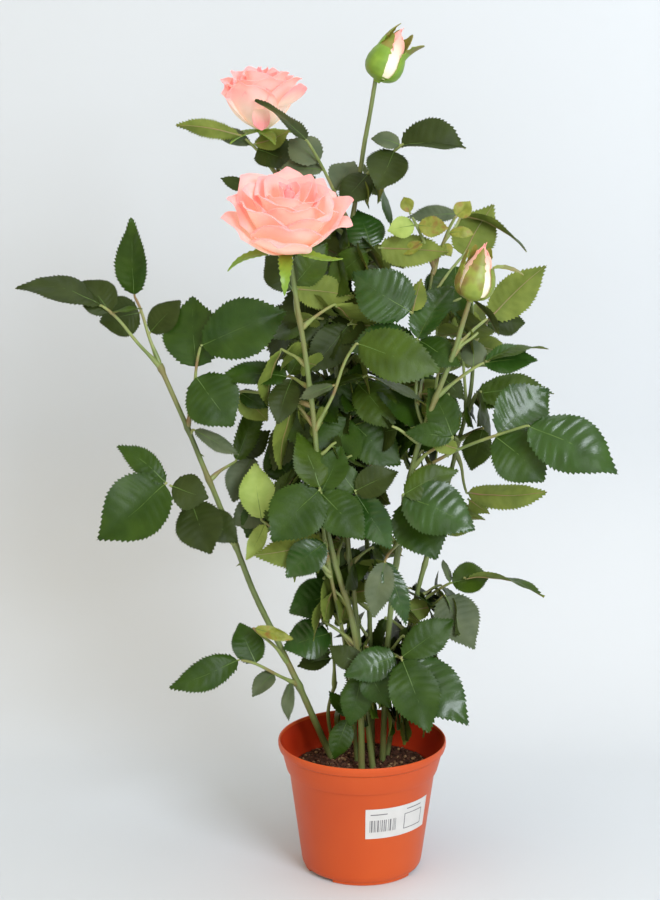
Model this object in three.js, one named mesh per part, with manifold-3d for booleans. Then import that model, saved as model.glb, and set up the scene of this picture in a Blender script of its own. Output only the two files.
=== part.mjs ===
// Artificial rose bush in a plastic nursery pot. Millimetres, +Z up, front towards -Y.
// The origin is the middle of the pot's flat underside.
import * as THREE from "three";
import { mergeVertices } from "three/addons/utils/BufferGeometryUtils.js";
import Module from "manifold-3d";

const wasm = await Module();
wasm.setup();

// Driving sizes of the pot: a flaring body under a skirted band with a rolled lip
const POT_HEIGHT = 103;
const RIM_RADIUS = 65;
const LIP_HEIGHT = 8;
const LIP_FLARE = 2.6;
const BAND_BOTTOM = 79;
const BAND_TOP_OF_SKIRT = 88;
const SKIRT_STEP = 2;
const SKIRT_FLARE = 4;
const BODY_TOP_RADIUS = 56.5;
const BASE_RADIUS = 47;
const BASE_ROUNDING = 1.8;
const BASE_ROUND_TOP = 8;
const WALL = 1.5;
const FLOOR = 5;
const POT_SIDES = 26;

// Its foot: a low ring with three notches that let water out of the drain holes
const FOOT_HEIGHT = 2.6;
const FOOT_RADIUS = 44.5;
const FOOT_CHAMFER = 0.5;
const NOTCHES = 3;
const FIRST_NOTCH_DEG = -18.5;
const NOTCH_WIDTH = 27;
const NOTCH_DEPTH = 10;
const DRAIN_RADIUS = 4.5;
const DRAIN_FROM_EDGE = 6;

// The filling in the pot, up to the granules on its top
const SOIL_TOP = 78;

// Running clearance between pieces that touch, and how much a cutter is fattened to leave it
const GAP = 0.3;
const CUT = 0.5;

const POT_PLASTIC = new THREE.MeshStandardMaterial({ color: 0xc9552f, roughness: 0.45, metalness: 0 });
const FILLING = new THREE.MeshStandardMaterial({ color: 0x4a2c1d, roughness: 1, metalness: 0 });
const STEM = new THREE.MeshStandardMaterial({ color: 0x5d6b35, roughness: 0.5, metalness: 0 });
const LEAF = new THREE.MeshStandardMaterial({ color: 0x2f5a2a, roughness: 0.45, metalness: 0 });
const YOUNG_LEAF = new THREE.MeshStandardMaterial({ color: 0x7f9a3c, roughness: 0.5, metalness: 0 });
const PETAL = new THREE.MeshStandardMaterial({ color: 0xf4a190, roughness: 0.8, metalness: 0 });
const BUD_GREEN = new THREE.MeshStandardMaterial({ color: 0x84a83c, roughness: 0.5, metalness: 0 });

const radians = THREE.MathUtils.degToRad;
const vector = (p) => new THREE.Vector3(...p);

// A closed three.js geometry as a manifold-3d solid
function solidOf(geometry) {
  const bare = geometry.index ? geometry.toNonIndexed() : geometry.clone();
  bare.deleteAttribute("normal");
  bare.deleteAttribute("uv");
  const merged = mergeVertices(bare, 1e-3);
  return new wasm.Manifold(
    new wasm.Mesh({
      numProp: 3,
      vertProperties: merged.attributes.position.array,
      triVerts: new Uint32Array(merged.index.array),
    }),
  );
}

function geometryOf(solid) {
  const { vertProperties, triVerts, numProp, numVert } = solid.getMesh();
  const positions = new Float32Array(numVert * 3);
  for (let i = 0; i < numVert; i++) {
    positions.set(vertProperties.subarray(i * numProp, i * numProp + 3), i * 3);
  }
  const geometry = new THREE.BufferGeometry();
  geometry.setAttribute("position", new THREE.BufferAttribute(positions, 3));
  geometry.setIndex(new THREE.BufferAttribute(triVerts, 1));
  geometry.computeVertexNormals();
  return geometry;
}

const union = (solids) => solids.reduce((all, next) => all.add(next));

// What is left of a solid after a cut, without the crumbs
function largestPiece(solid) {
  return solid.decompose().sort((a, b) => b.volume() - a.volume())[0];
}

// A profile of [radius, height] pairs turned about the Z axis
function turned(profile, sides) {
  const points = profile.map(([r, z]) => new THREE.Vector2(r, z));
  return new THREE.LatheGeometry(points, sides).rotateX(Math.PI / 2);
}

// A round limb along a curve, thinning evenly from its foot to its tip
function taperedTube(path, footRadius, tipRadius, steps, sides) {
  const section = new THREE.Shape();
  for (let i = 0; i < sides; i++) {
    const turn = (2 * Math.PI * i) / sides;
    const [x, y] = [Math.cos(turn), Math.sin(turn)];
    if (i === 0) section.moveTo(x, y);
    else section.lineTo(x, y);
  }
  section.closePath();
  const geometry = new THREE.ExtrudeGeometry(section, { steps, extrudePath: path, bevelEnabled: false });
  const rings = path.getSpacedPoints(steps);
  const place = geometry.attributes.position;
  const corner = new THREE.Vector3();
  for (let i = 0; i < place.count; i++) {
    corner.fromBufferAttribute(place, i);
    const distances = rings.map((ring) => ring.distanceTo(corner));
    const nearest = distances.indexOf(Math.min(...distances));
    const radius = THREE.MathUtils.lerp(footRadius, tipRadius, nearest / steps);
    corner.sub(rings[nearest]).multiplyScalar(radius).add(rings[nearest]);
    place.setXYZ(i, corner.x, corner.y, corner.z);
  }
  return geometry;
}

// The point of a rising curve at a height
function atHeight(path, height) {
  let [low, high] = [0, 1];
  for (let i = 0; i < 30; i++) {
    const middle = (low + high) / 2;
    if (path.getPoint(middle).z < height) low = middle;
    else high = middle;
  }
  return path.getPoint(low);
}

// The pot's wall from its foot to its lip, outside, or inset by its thickness for the inside
function wallProfile(inset, start) {
  return [
    [BASE_RADIUS - BASE_ROUNDING - inset, start],
    [BASE_RADIUS - inset, BASE_ROUND_TOP],
    [BODY_TOP_RADIUS - inset, BAND_BOTTOM - (inset * 2) / 3],
    [BODY_TOP_RADIUS + SKIRT_STEP - inset, BAND_BOTTOM + 1],
    [BODY_TOP_RADIUS + SKIRT_FLARE - inset, BAND_TOP_OF_SKIRT],
    [RIM_RADIUS - LIP_FLARE - inset, POT_HEIGHT - LIP_HEIGHT],
    [RIM_RADIUS - inset, POT_HEIGHT - 2 * WALL],
  ];
}

function makePot() {
  const foot = [
    [0, 0],
    [FOOT_RADIUS - FOOT_CHAMFER, 0],
    [FOOT_RADIUS, FOOT_CHAMFER],
    [FOOT_RADIUS, FOOT_HEIGHT],
  ];
  const lip = [[RIM_RADIUS - WALL / 2, POT_HEIGHT]];
  const inside = wallProfile(WALL, FLOOR).reverse();
  const profile = [...foot, ...wallProfile(0, FOOT_HEIGHT), ...lip, ...inside, [0, FLOOR]];
  let pot = solidOf(turned(profile, POT_SIDES));
  for (let i = 0; i < NOTCHES; i++) {
    const turn = radians(FIRST_NOTCH_DEG + (360 / NOTCHES) * i);
    const notch = new THREE.BoxGeometry(2 * NOTCH_DEPTH, NOTCH_WIDTH, 2 * FOOT_HEIGHT);
    const drain = new THREE.CylinderGeometry(DRAIN_RADIUS, DRAIN_RADIUS, 4 * FLOOR, 12);
    notch.translate(FOOT_RADIUS, 0, 0).rotateZ(turn);
    drain.rotateX(Math.PI / 2).translate(FOOT_RADIUS - DRAIN_FROM_EDGE, 0, 0).rotateZ(turn);
    pot = pot.subtract(solidOf(notch)).subtract(solidOf(drain));
  }
  return pot;
}

// The filling is a plug that follows the inside of the body, its running gap away from it
function makeSoil() {
  const inset = WALL + 2 * GAP;
  const slope = (BODY_TOP_RADIUS - BASE_RADIUS) / (BAND_BOTTOM - BASE_ROUND_TOP);
  const topRadius = BODY_TOP_RADIUS - inset - slope * (BAND_BOTTOM - SOIL_TOP);
  const profile = [
    [0, FLOOR + GAP],
    [BASE_RADIUS - BASE_ROUNDING - inset, FLOOR + GAP],
    [BASE_RADIUS - inset, BASE_ROUND_TOP + 1],
    [topRadius, SOIL_TOP],
    [0, SOIL_TOP],
  ];
  return solidOf(turned(profile, POT_SIDES));
}

// Canes, as radius at the foot and at the tip, and the places they bend through from the filling up
const CANES = {
  cane_left: { foot: 3.6, tip: 2.3,
    bends: [[-21, 22], [-48, 12, 139], [-83, 2, 221], [-113, -8, 306], [-150, -15, 399]] },
  cane_short_left: { foot: 2.2, tip: 1.6,
    bends: [[-20, 37], [-26, 33, 112], [-20, 33, 137]] },
  cane_front_low: { foot: 2.2, tip: 1.8,
    bends: [[-3.5, 14], [-11, 4, 165], [-23, -12, 230], [-30, -20, 269]] },
  cane_front_rose: { foot: 3.4, tip: 2.2,
    bends: [[0, -6], [-5, -8, 184], [-26, -18, 270], [-40, -38, 388], [-53, -60, 484]] },
  cane_tall_bud: { foot: 3.2, tip: 2.1,
    bends: [[9, 1], [-3, 7, 181], [-15, 14, 305], [-18, 16, 432], [-1, 10, 544], [8, 5, 604]] },
  cane_back_rose: { foot: 2.6, tip: 2,
    bends: [[9, 26], [6, 33, 206], [-1, 36, 292], [-29, 40, 385], [-60, 42, 525], [-75, 40, 570]] },
  cane_right_bud: { foot: 3.2, tip: 2.2,
    bends: [[16, 16], [21, 0, 200], [36, -22, 323], [61, -40, 404], [75, -50, 453]] },
  cane_right_back: { foot: 2.8, tip: 1.8,
    bends: [[19, 25], [41, 34, 199], [71, 40, 314], [83, 38, 374], [82, 34, 440]] },
};
const CANE_STEPS = 8;
const CANE_SIDES = 6;
const FOOT_DEPTH = 6;

// The young shoot is a bough that forks off the right bud's cane at a height
const SHOOT = { foot: 1.9, tip: 1.4, start: 353, bends: [[39, -18, 372], [43, 0, 415], [53, 10, 476]] };

function limbPath(bends) {
  return new THREE.CatmullRomCurve3(bends.map(([x, y, z = SOIL_TOP - FOOT_DEPTH]) => vector([x, y, z])));
}

const belowSoil = new THREE.BoxGeometry(200, 200, 100).translate(0, 0, SOIL_TOP + GAP - 50);

// The same limb at its own size, and fattened as a cutter
function makeLimb(path, { foot, tip }) {
  const tube = (extra) => solidOf(taperedTube(path, foot + extra, tip + extra, CANE_STEPS, CANE_SIDES));
  return { solid: tube(0).subtract(solidOf(belowSoil)), cutter: tube(CUT) };
}

// Flowers: a lobed cup on its calyx. The profile is [share of half the width, share of the height].
// lean tips it to the front and aside to the right, in degrees.
const BLOOM = [[0, 0], [0.2, 0.02], [0.5, 0.2], [0.97, 0.56], [1, 0.72], [0.74, 0.92], [0.3, 1], [0, 1]];
const CUP = [[0, 0], [0.2, 0.02], [0.6, 0.2], [0.86, 0.5], [1, 0.86], [0.78, 0.97], [0.3, 1], [0, 1]];
const BUD = [[0, 0], [0.55, 0.04], [1, 0.3], [0.86, 0.55], [0.4, 0.84], [0.12, 1], [0, 1]];
const FLOWER_RIPPLE = 0.05;
const BLOOMS = {
  bloom_front: { profile: BLOOM, base: [-53, -61, 484],
    width: 96, height: 46, lean: 32, aside: -9, lobes: 5 },
  bloom_back: { profile: CUP, base: [-74, 40, 569],
    width: 68, height: 44, lean: 4, aside: -2, lobes: 5 },
};
const BUDS = {
  bud_tall: { profile: BUD, base: [8, 5, 604],
    width: 29, height: 43, lean: 0, aside: 24, lobes: 3 },
  bud_right: { profile: BUD, base: [75, -50, 453],
    width: 27, height: 42, lean: 4, aside: 14, lobes: 3 },
};

function makeFlower({ profile, base, width, height, lean, aside, lobes }) {
  const cup = (extra) => {
    const outline = profile.map(([r, z]) => [(r * width) / 2 + (r > 0 ? extra : 0), z * height]);
    outline.at(0)[1] -= extra;
    outline.at(-1)[1] += extra;
    const geometry = turned(outline, 3 * lobes);
    const place = geometry.attributes.position;
    for (let i = 0; i < place.count; i++) {
      const [x, y, z] = [place.getX(i), place.getY(i), place.getZ(i)];
      const ripple = 1 + FLOWER_RIPPLE * (z / height) * Math.cos(lobes * Math.atan2(y, x));
      place.setXYZ(i, x * ripple, y * ripple, z);
    }
    geometry.rotateX(radians(lean)).rotateY(radians(aside)).translate(...base);
    return solidOf(geometry);
  };
  return { solid: cup(0), cutter: cup(CUT) };
}

// Foliage: each mass is one compound rose leaf or a knot of them, on a stalk from its limb.
// height is where the stalk leaves the limb and heel is where it ends. The leaflets fan out in one
// plane, which looks up at face 0, to the front at 90 and to the back at -90. A leaflet is
// [heading, length, how far back from the heel it stands, slenderness], with its heading counted in
// that plane from 0 to the right, through 90 for upwards, to 180 for the left.
const LEAF_SLENDER = 0.64;
const LEAF_THICK = 5;
const LEAF_CORNERS = 6;
const LEAF_ROOT = 3;
const NEAREST_LEAFLET = 0.15;
const STALK_RADIUS = 1.5;
const STALK_RISE = 0.08;
const STALK_STEPS = 2;
const STALK_SIDES = 3;
const SIDE_TURN = 58;
const SIDE_SHARE = 0.86;
const SIDE_BACK = 6;

// A regular compound leaf: an end leaflet and a pair of smaller ones behind it
function compound(heading, length) {
  const sides = [-1, 1].map((hand) => [heading + hand * SIDE_TURN, length * SIDE_SHARE, SIDE_BACK]);
  return [[heading, length], ...sides];
}

const FOLIAGE = {
  left_tip_far: { limb: "cane_left", height: 396, heel: [-189, -32, 445], face: 60,
    leaflets: [[168, 64, 0, 0.34], [35, 24, 6], [8, 22, 9, 0.4]] },
  left_tip_up: { limb: "cane_left", height: 398, heel: [-168, -6, 448], face: 80,
    leaflets: [[86, 56, 0, 0.45], [47, 32, 24]] },
  left_upper: { limb: "cane_left", height: 350, heel: [-119, -26, 402], face: 75,
    leaflets: [[80, 54, 8], [20, 70, 0], [-42, 44, 20, 0.8]] },
  left_inner: { limb: "cane_left", height: 310, heel: [-96, 6, 326], face: 65,
    leaflets: [[70, 54, 0, 0.34], [65, 38, 18], [150, 34, 12, 0.34]] },
  left_middle: { limb: "cane_left", height: 258, heel: [-142, -40, 314], face: 60,
    leaflets: [[-128, 66, 0], [145, 46, 0, 0.5], [10, 28, 6, 0.85], [165, 54, 62, 0.5]] },
  left_low: { limb: "cane_left", height: 141, heel: [-92, -15, 171], face: 60,
    leaflets: [[-150, 58, 0, 0.42], [112, 36, 10, 0.75], [-140, 28, 34, 0.6]] },
  low_left: { limb: "cane_short_left", height: 132, heel: [-36, 12, 162], face: 50,
    leaflets: [[160, 42, 0], [-150, 30, 6, 0.45], [100, 30, 12, 0.4]] },
  low_left_back: { limb: "cane_back_rose", height: 196, heel: [-19, 26, 212], face: 55,
    leaflets: [[180, 46, 0], [140, 32, 6], [15, 36, 8, 0.6]] },
  top_left: { limb: "cane_back_rose", height: 528, heel: [-87, 26, 558], face: 55,
    leaflets: [[165, 50, 0, 0.46], [25, 30, 8, 0.4], [-25, 34, 14, 0.7]] },
  top_left_low: { limb: "cane_back_rose", height: 508, heel: [-76, 24, 520], face: 60,
    leaflets: [[155, 34, 0, 0.5]] },
  top_middle: { limb: "cane_tall_bud", height: 496, heel: [-41, -8, 561], face: 55,
    leaflets: [[138, 50, 0, 0.42], [10, 30, 8, 0.6], [178, 34, 26, 0.6], [5, 34, 34, 0.6]] },
  top_right: { limb: "cane_tall_bud", height: 528, heel: [28, -8, 555], face: 50,
    leaflets: [[-5, 40, 0], [155, 20, 2, 0.5], [-120, 36, 6, 0.75]] },
  young_tip: { limb: "shoot_young", height: 468, heel: [38, -8, 500], face: 70,
    leaflets: [[100, 22, 0, 0.6], [-170, 22, 4], [-150, 24, 18], [-8, 40, 4, 0.6]] },
  right_top: { limb: "shoot_young", height: 440, heel: [74, 28, 473], face: 60,
    leaflets: [[60, 48, 0], [-8, 62, 0, 0.3], [-80, 36, 14]] },
  right_upper: { limb: "cane_right_back", height: 405, heel: [95, 26, 427], face: 70,
    leaflets: [[40, 60, 0, 0.6], [0, 32, 6, 0.75]] },
  right_middle_up: { limb: "cane_right_bud", height: 378, heel: [85, -38, 404], face: 50,
    leaflets: [[3, 42, 0], [12, 46, 2, 0.3], [100, 28, 10]] },
  right_middle: { limb: "cane_right_back", height: 350, heel: [91, 42, 366], face: 55,
    leaflets: [[8, 60, 0, 0.5], [-60, 36, 2, 0.6], [-118, 42, 4]] },
  right_far: { limb: "cane_right_bud", height: 316, heel: [117, -56, 362], face: 60,
    leaflets: [[-30, 72, 0, 0.56], [38, 50, 20], [-44, 50, 24], [25, 24, 64, 0.5]] },
  right_low: { limb: "cane_right_back", height: 320, heel: [81, 44, 286], face: 45,
    leaflets: [[3, 64, 0, 0.34], [-40, 26, 6, 0.6]] },
  right_edge: { limb: "cane_right_back", height: 206, heel: [68, 22, 222], face: 30,
    leaflets: [[-12, 82, 0, 0.3], [88, 28, 2, 0.4], [-50, 30, 10]] },
  right_lower: { limb: "cane_right_back", height: 176, heel: [62, 14, 212], face: 60,
    leaflets: [[-65, 50, 0, 0.74], [38, 50, 40], [-170, 34, 6]] },
  low_right: { limb: "cane_right_bud", height: 168, heel: [31, -36, 176], face: 65,
    leaflets: [[-68, 60, 0, 0.74], [-28, 64, 4, 0.6], [-155, 46, 6]] },
  low_front: { limb: "cane_front_rose", height: 142, heel: [2, -26, 158], face: 75,
    leaflets: [[-60, 38, 0], [-102, 42, 2, 0.6]] },
  low_inner: { limb: "cane_front_low", height: 112, heel: [-13, -6, 142], face: 75,
    leaflets: [[-100, 32, 0, 0.6], [125, 30, 0, 0.5]] },
  right_front: { limb: "cane_right_bud", height: 290, heel: [28, -46, 308], face: 60,
    leaflets: [[-28, 58, 0, 0.72], [-62, 50, 6], [20, 38, 4, 0.5]] },
  centre_front_right: { limb: "cane_right_bud", height: 258, heel: [6, -38, 292], face: 75,
    leaflets: [[-62, 50, 0], [-100, 66, 4, 0.4], [150, 34, 2]] },
  centre_front: { limb: "cane_front_low", height: 260, heel: [-32, -44, 306], face: 65,
    leaflets: [[-130, 52, 0, 0.76], [112, 46, 0], [68, 42, 6, 0.6], [-50, 52, 4]] },
  centre_front_low: { limb: "cane_front_low", height: 248, heel: [-28, -36, 268], face: 65,
    leaflets: [[-135, 38, 0], [175, 54, 2, 0.5]] },
  pale_left: { limb: "cane_front_low", height: 240, heel: [-74, -16, 278], face: 75,
    leaflets: [[98, 46, 0], [-120, 32, 4, 0.34], [60, 52, 8, 0.5]] },
  upper_front: { limb: "shoot_young", height: 408, heel: [39, -26, 419], face: 55,
    leaflets: [[-162, 66, 0], [-35, 38, 2], [62, 54, 4, 0.6]] },
  upper_glossy: { limb: "shoot_young", height: 420, heel: [32, -32, 440], face: 70,
    leaflets: [[145, 52, 0, 0.74], [75, 26, 2]] },
  rose_side: { limb: "cane_tall_bud", height: 470, heel: [6, 0, 482], face: 60,
    leaflets: [[35, 42, 0, 0.8], [-5, 56, 0, 0.5], [-125, 38, 4]] },
  under_rose: { limb: "cane_front_rose", height: 440, heel: [-50, -14, 462], face: 70,
    leaflets: [[140, 34, 0], [60, 46, 0, 0.6], [-20, 60, 4, 0.5]] },
  middle_left: { limb: "cane_front_rose", height: 386, heel: [-55, -20, 394], face: 60,
    leaflets: [[-175, 50, 0, 0.6], [-150, 60, 8, 0.6], [60, 34, 0]] },
  middle_upper: { limb: "cane_tall_bud", height: 418, heel: [-10, -8, 428], face: 65,
    leaflets: [[-40, 36, 0, 0.8], [-125, 56, 2, 0.6], [60, 38, 0]] },
  middle_right: { limb: "cane_tall_bud", height: 366, heel: [2, -10, 382], face: 60,
    leaflets: [[-28, 50, 0, 0.3], [-52, 60, 4, 0.76], [-158, 54, 2, 0.4]] },
  middle_low: { limb: "cane_tall_bud", height: 336, heel: [-10, -8, 358], face: 70,
    leaflets: [[-115, 44, 0, 0.8], [-170, 56, 4, 0.5], [-42, 50, 4], [80, 40, 0]] },
  heart_right: { limb: "cane_right_back", height: 330, heel: [44, 22, 350], face: 60,
    leaflets: compound(150, 52) },
  back_low_left: { limb: "cane_back_rose", height: 232, heel: [-58, 74, 262], face: -40,
    leaflets: compound(130, 56) },
  back_low_right: { limb: "cane_right_back", height: 232, heel: [76, 92, 256], face: -40,
    leaflets: compound(60, 56) },
  back_middle: { limb: "cane_back_rose", height: 306, heel: [4, 92, 338], face: -50,
    leaflets: compound(80, 58) },
  back_upper_left: { limb: "cane_back_rose", height: 372, heel: [-80, 78, 414], face: -40,
    leaflets: compound(130, 58) },
  back_upper_right: { limb: "cane_right_back", height: 352, heel: [90, 92, 398], face: -40,
    leaflets: compound(62, 56) },
  back_top: { limb: "cane_tall_bud", height: 430, heel: [6, 74, 474], face: -40,
    leaflets: compound(80, 54) },
};

// A leaflet as a thin pad with pointed ends, from its base along a direction
function leafPad(base, along, normal, length, slender, extra) {
  const side = new THREE.Vector3().crossVectors(normal, along).normalize();
  const flat = new THREE.Vector3().crossVectors(along, side).normalize();
  const pad = new THREE.SphereGeometry(1, LEAF_CORNERS, 2).rotateX(Math.PI / 2);
  pad.scale(length / 2 + extra, (length * slender) / 2 + extra, LEAF_THICK / 2 + extra);
  pad.applyMatrix4(new THREE.Matrix4().makeBasis(along, side, flat));
  const middle = base.clone().addScaledVector(along, length / 2 - LEAF_ROOT);
  return solidOf(pad.translate(middle.x, middle.y, middle.z));
}

function stalkPath(limb, { height, heel }) {
  const root = atHeight(limb, height);
  const end = vector(heel);
  const rise = new THREE.Vector3(0, 0, root.distanceTo(end) * STALK_RISE);
  const middle = root.clone().add(end).multiplyScalar(0.5).add(rise);
  return new THREE.QuadraticBezierCurve3(root, middle, end);
}

function makeStalk(path) {
  const tube = (radius) => solidOf(taperedTube(path, radius, radius, STALK_STEPS, STALK_SIDES));
  return { solid: tube(STALK_RADIUS), cutter: tube(STALK_RADIUS + CUT) };
}

function makeLeaflets(path, { face, leaflets }) {
  const tilt = radians(face);
  const normal = new THREE.Vector3(0, -Math.sin(tilt), Math.cos(tilt));
  const fan = (extra) => union(leaflets.map(([heading, length, back = 0, slender = LEAF_SLENDER]) => {
    const turn = radians(heading);
    const up = Math.sin(turn);
    const along = new THREE.Vector3(Math.cos(turn), up * Math.cos(tilt), up * Math.sin(tilt));
    const base = path.getPointAt(Math.max(NEAREST_LEAFLET, 1 - back / path.getLength()));
    return leafPad(base, along, normal, length, slender, extra);
  }));
  return { solid: fan(0), cutter: fan(CUT) };
}

// Assembly: what is made later is cut clear of what is there
const bush = new THREE.Group();

function addPiece(name, solid, material) {
  const mesh = new THREE.Mesh(geometryOf(solid), material);
  mesh.name = name;
  bush.add(mesh);
}

function boxOf(solid) {
  const { min, max } = solid.boundingBox();
  return new THREE.Box3(vector(min), vector(max));
}

function clearOf(solid, blades) {
  const box = boxOf(solid);
  const close = blades.filter((blade) => boxOf(blade).intersectsBox(box));
  return close.reduce((left, blade) => left.subtract(blade), solid);
}

// Cutters of the firm pieces: flowers, limbs and the space of the pot
const blades = [];

// A firm piece stays whole where foliage meets it
function addFirm(name, { solid, cutter }, material) {
  addPiece(name, largestPiece(clearOf(solid, blades)), material);
  blades.push(cutter);
}

addPiece("pot", makePot(), POT_PLASTIC);
addPiece("soil", makeSoil(), FILLING);
for (const [name, size] of Object.entries(BLOOMS)) addFirm(name, makeFlower(size), PETAL);
for (const [name, size] of Object.entries(BUDS)) addFirm(name, makeFlower(size), BUD_GREEN);

const limbs = {};
for (const [name, size] of Object.entries(CANES)) {
  limbs[name] = limbPath(size.bends);
  addFirm(name, makeLimb(limbs[name], size), STEM);
}
const fork = atHeight(limbs.cane_right_bud, SHOOT.start);
limbs.shoot_young = limbPath([fork.toArray(), ...SHOOT.bends]);
addFirm("shoot_young", makeLimb(limbs.shoot_young, SHOOT), STEM);

const potSpace = [
  [0, -CUT],
  [RIM_RADIUS + CUT, -CUT],
  [RIM_RADIUS + CUT, POT_HEIGHT + CUT],
  [0, POT_HEIGHT + CUT],
];
blades.push(solidOf(turned(potSpace, POT_SIDES)));

// Every stalk keeps its way through the leaflets of the others
const sprays = Object.entries(FOLIAGE).map(([name, size]) => {
  const path = stalkPath(limbs[size.limb], size);
  return { name, path, size, stalk: makeStalk(path) };
});
const leafBlades = [];
sprays.forEach(({ name, path, size, stalk }, i) => {
  const otherStalks = sprays.filter((_, j) => j !== i).map((spray) => spray.stalk.cutter);
  const earlierStalks = sprays.slice(0, i).map((spray) => spray.stalk.cutter);
  const leaflets = makeLeaflets(path, size);
  const leaves = clearOf(leaflets.solid, [...blades, ...otherStalks, ...leafBlades]);
  const mass = clearOf(stalk.solid, [...blades, ...earlierStalks]).add(leaves);
  const material = name.startsWith("young") ? YOUNG_LEAF : LEAF;
  addPiece("foliage_" + name, largestPiece(mass), material);
  leafBlades.push(leaflets.cutter);
});

export default bush;
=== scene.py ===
"""Artificial rose bush in a plastic nursery pot: its canes, leaves, blooms, buds, pot and filling."""

from __future__ import annotations

import logging
import math
import random
from dataclasses import dataclass, field
from enum import Enum
from typing import Callable, ClassVar, Sequence

import bpy
import numpy as np
from mathutils import Matrix, Vector, noise


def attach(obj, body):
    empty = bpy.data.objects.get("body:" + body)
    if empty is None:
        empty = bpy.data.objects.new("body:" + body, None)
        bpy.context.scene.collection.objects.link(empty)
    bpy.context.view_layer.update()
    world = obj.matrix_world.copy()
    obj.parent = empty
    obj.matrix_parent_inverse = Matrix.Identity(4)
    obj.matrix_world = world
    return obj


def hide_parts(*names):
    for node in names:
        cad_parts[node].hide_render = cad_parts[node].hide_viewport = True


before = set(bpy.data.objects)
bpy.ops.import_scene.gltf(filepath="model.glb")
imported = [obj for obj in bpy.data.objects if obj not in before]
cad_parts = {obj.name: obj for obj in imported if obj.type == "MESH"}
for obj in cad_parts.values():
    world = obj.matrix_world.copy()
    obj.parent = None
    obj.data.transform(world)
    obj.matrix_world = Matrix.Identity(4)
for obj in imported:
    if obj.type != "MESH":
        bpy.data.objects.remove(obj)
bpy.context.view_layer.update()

log = logging.getLogger("rose_bush")
MM = 0.001
SEED = 7
UP = np.array((0.0, 0.0, 1.0))
Point = tuple[float, float, float]
Faces = list[tuple[int, ...]]


# ---------------------------------------------------------------- finishes


def linear(code: str) -> tuple[float, float, float, float]:
    """Turns an sRGB hex colour into the linear colour that shaders take.

    Args:
        code: Six hex digits, such as "CE5A2E".

    Returns:
        Red, green, blue and alpha.
    """
    parts = [int(code[i : i + 2], 16) / 255 for i in (0, 2, 4)]
    red, green, blue = (p / 12.92 if p <= 0.04045 else ((p + 0.055) / 1.055) ** 2.4 for p in parts)
    return red, green, blue, 1.0


def add_node(tree: bpy.types.NodeTree, kind: str, inputs: dict | None = None, **settings) -> bpy.types.Node:
    """Adds a shader node with its settings and links.

    Args:
        tree: The material's node tree.
        kind: The node's type name.
        inputs: Input name or index to a value, or to the output socket that feeds it.
        **settings: Properties of the node itself.

    Returns:
        The new node.
    """
    node = tree.nodes.new(kind)
    for name, value in settings.items():
        setattr(node, name, value)
    for name, value in (inputs or {}).items():
        if isinstance(value, bpy.types.NodeSocket):
            tree.links.new(value, node.inputs[name])
        else:
            node.inputs[name].default_value = value
    return node


def set_ramp(node: bpy.types.Node, stops: Sequence[tuple[float, str]]) -> None:
    """Gives a colour ramp its stops.

    Args:
        node: The ramp.
        stops: Place from 0 to 1, and an sRGB hex colour.
    """
    ramp = node.color_ramp
    while len(ramp.elements) < len(stops):
        ramp.elements.new(0.5)
    for element, (place, code) in zip(ramp.elements, stops):
        element.position = place
        element.color = linear(code)


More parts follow.
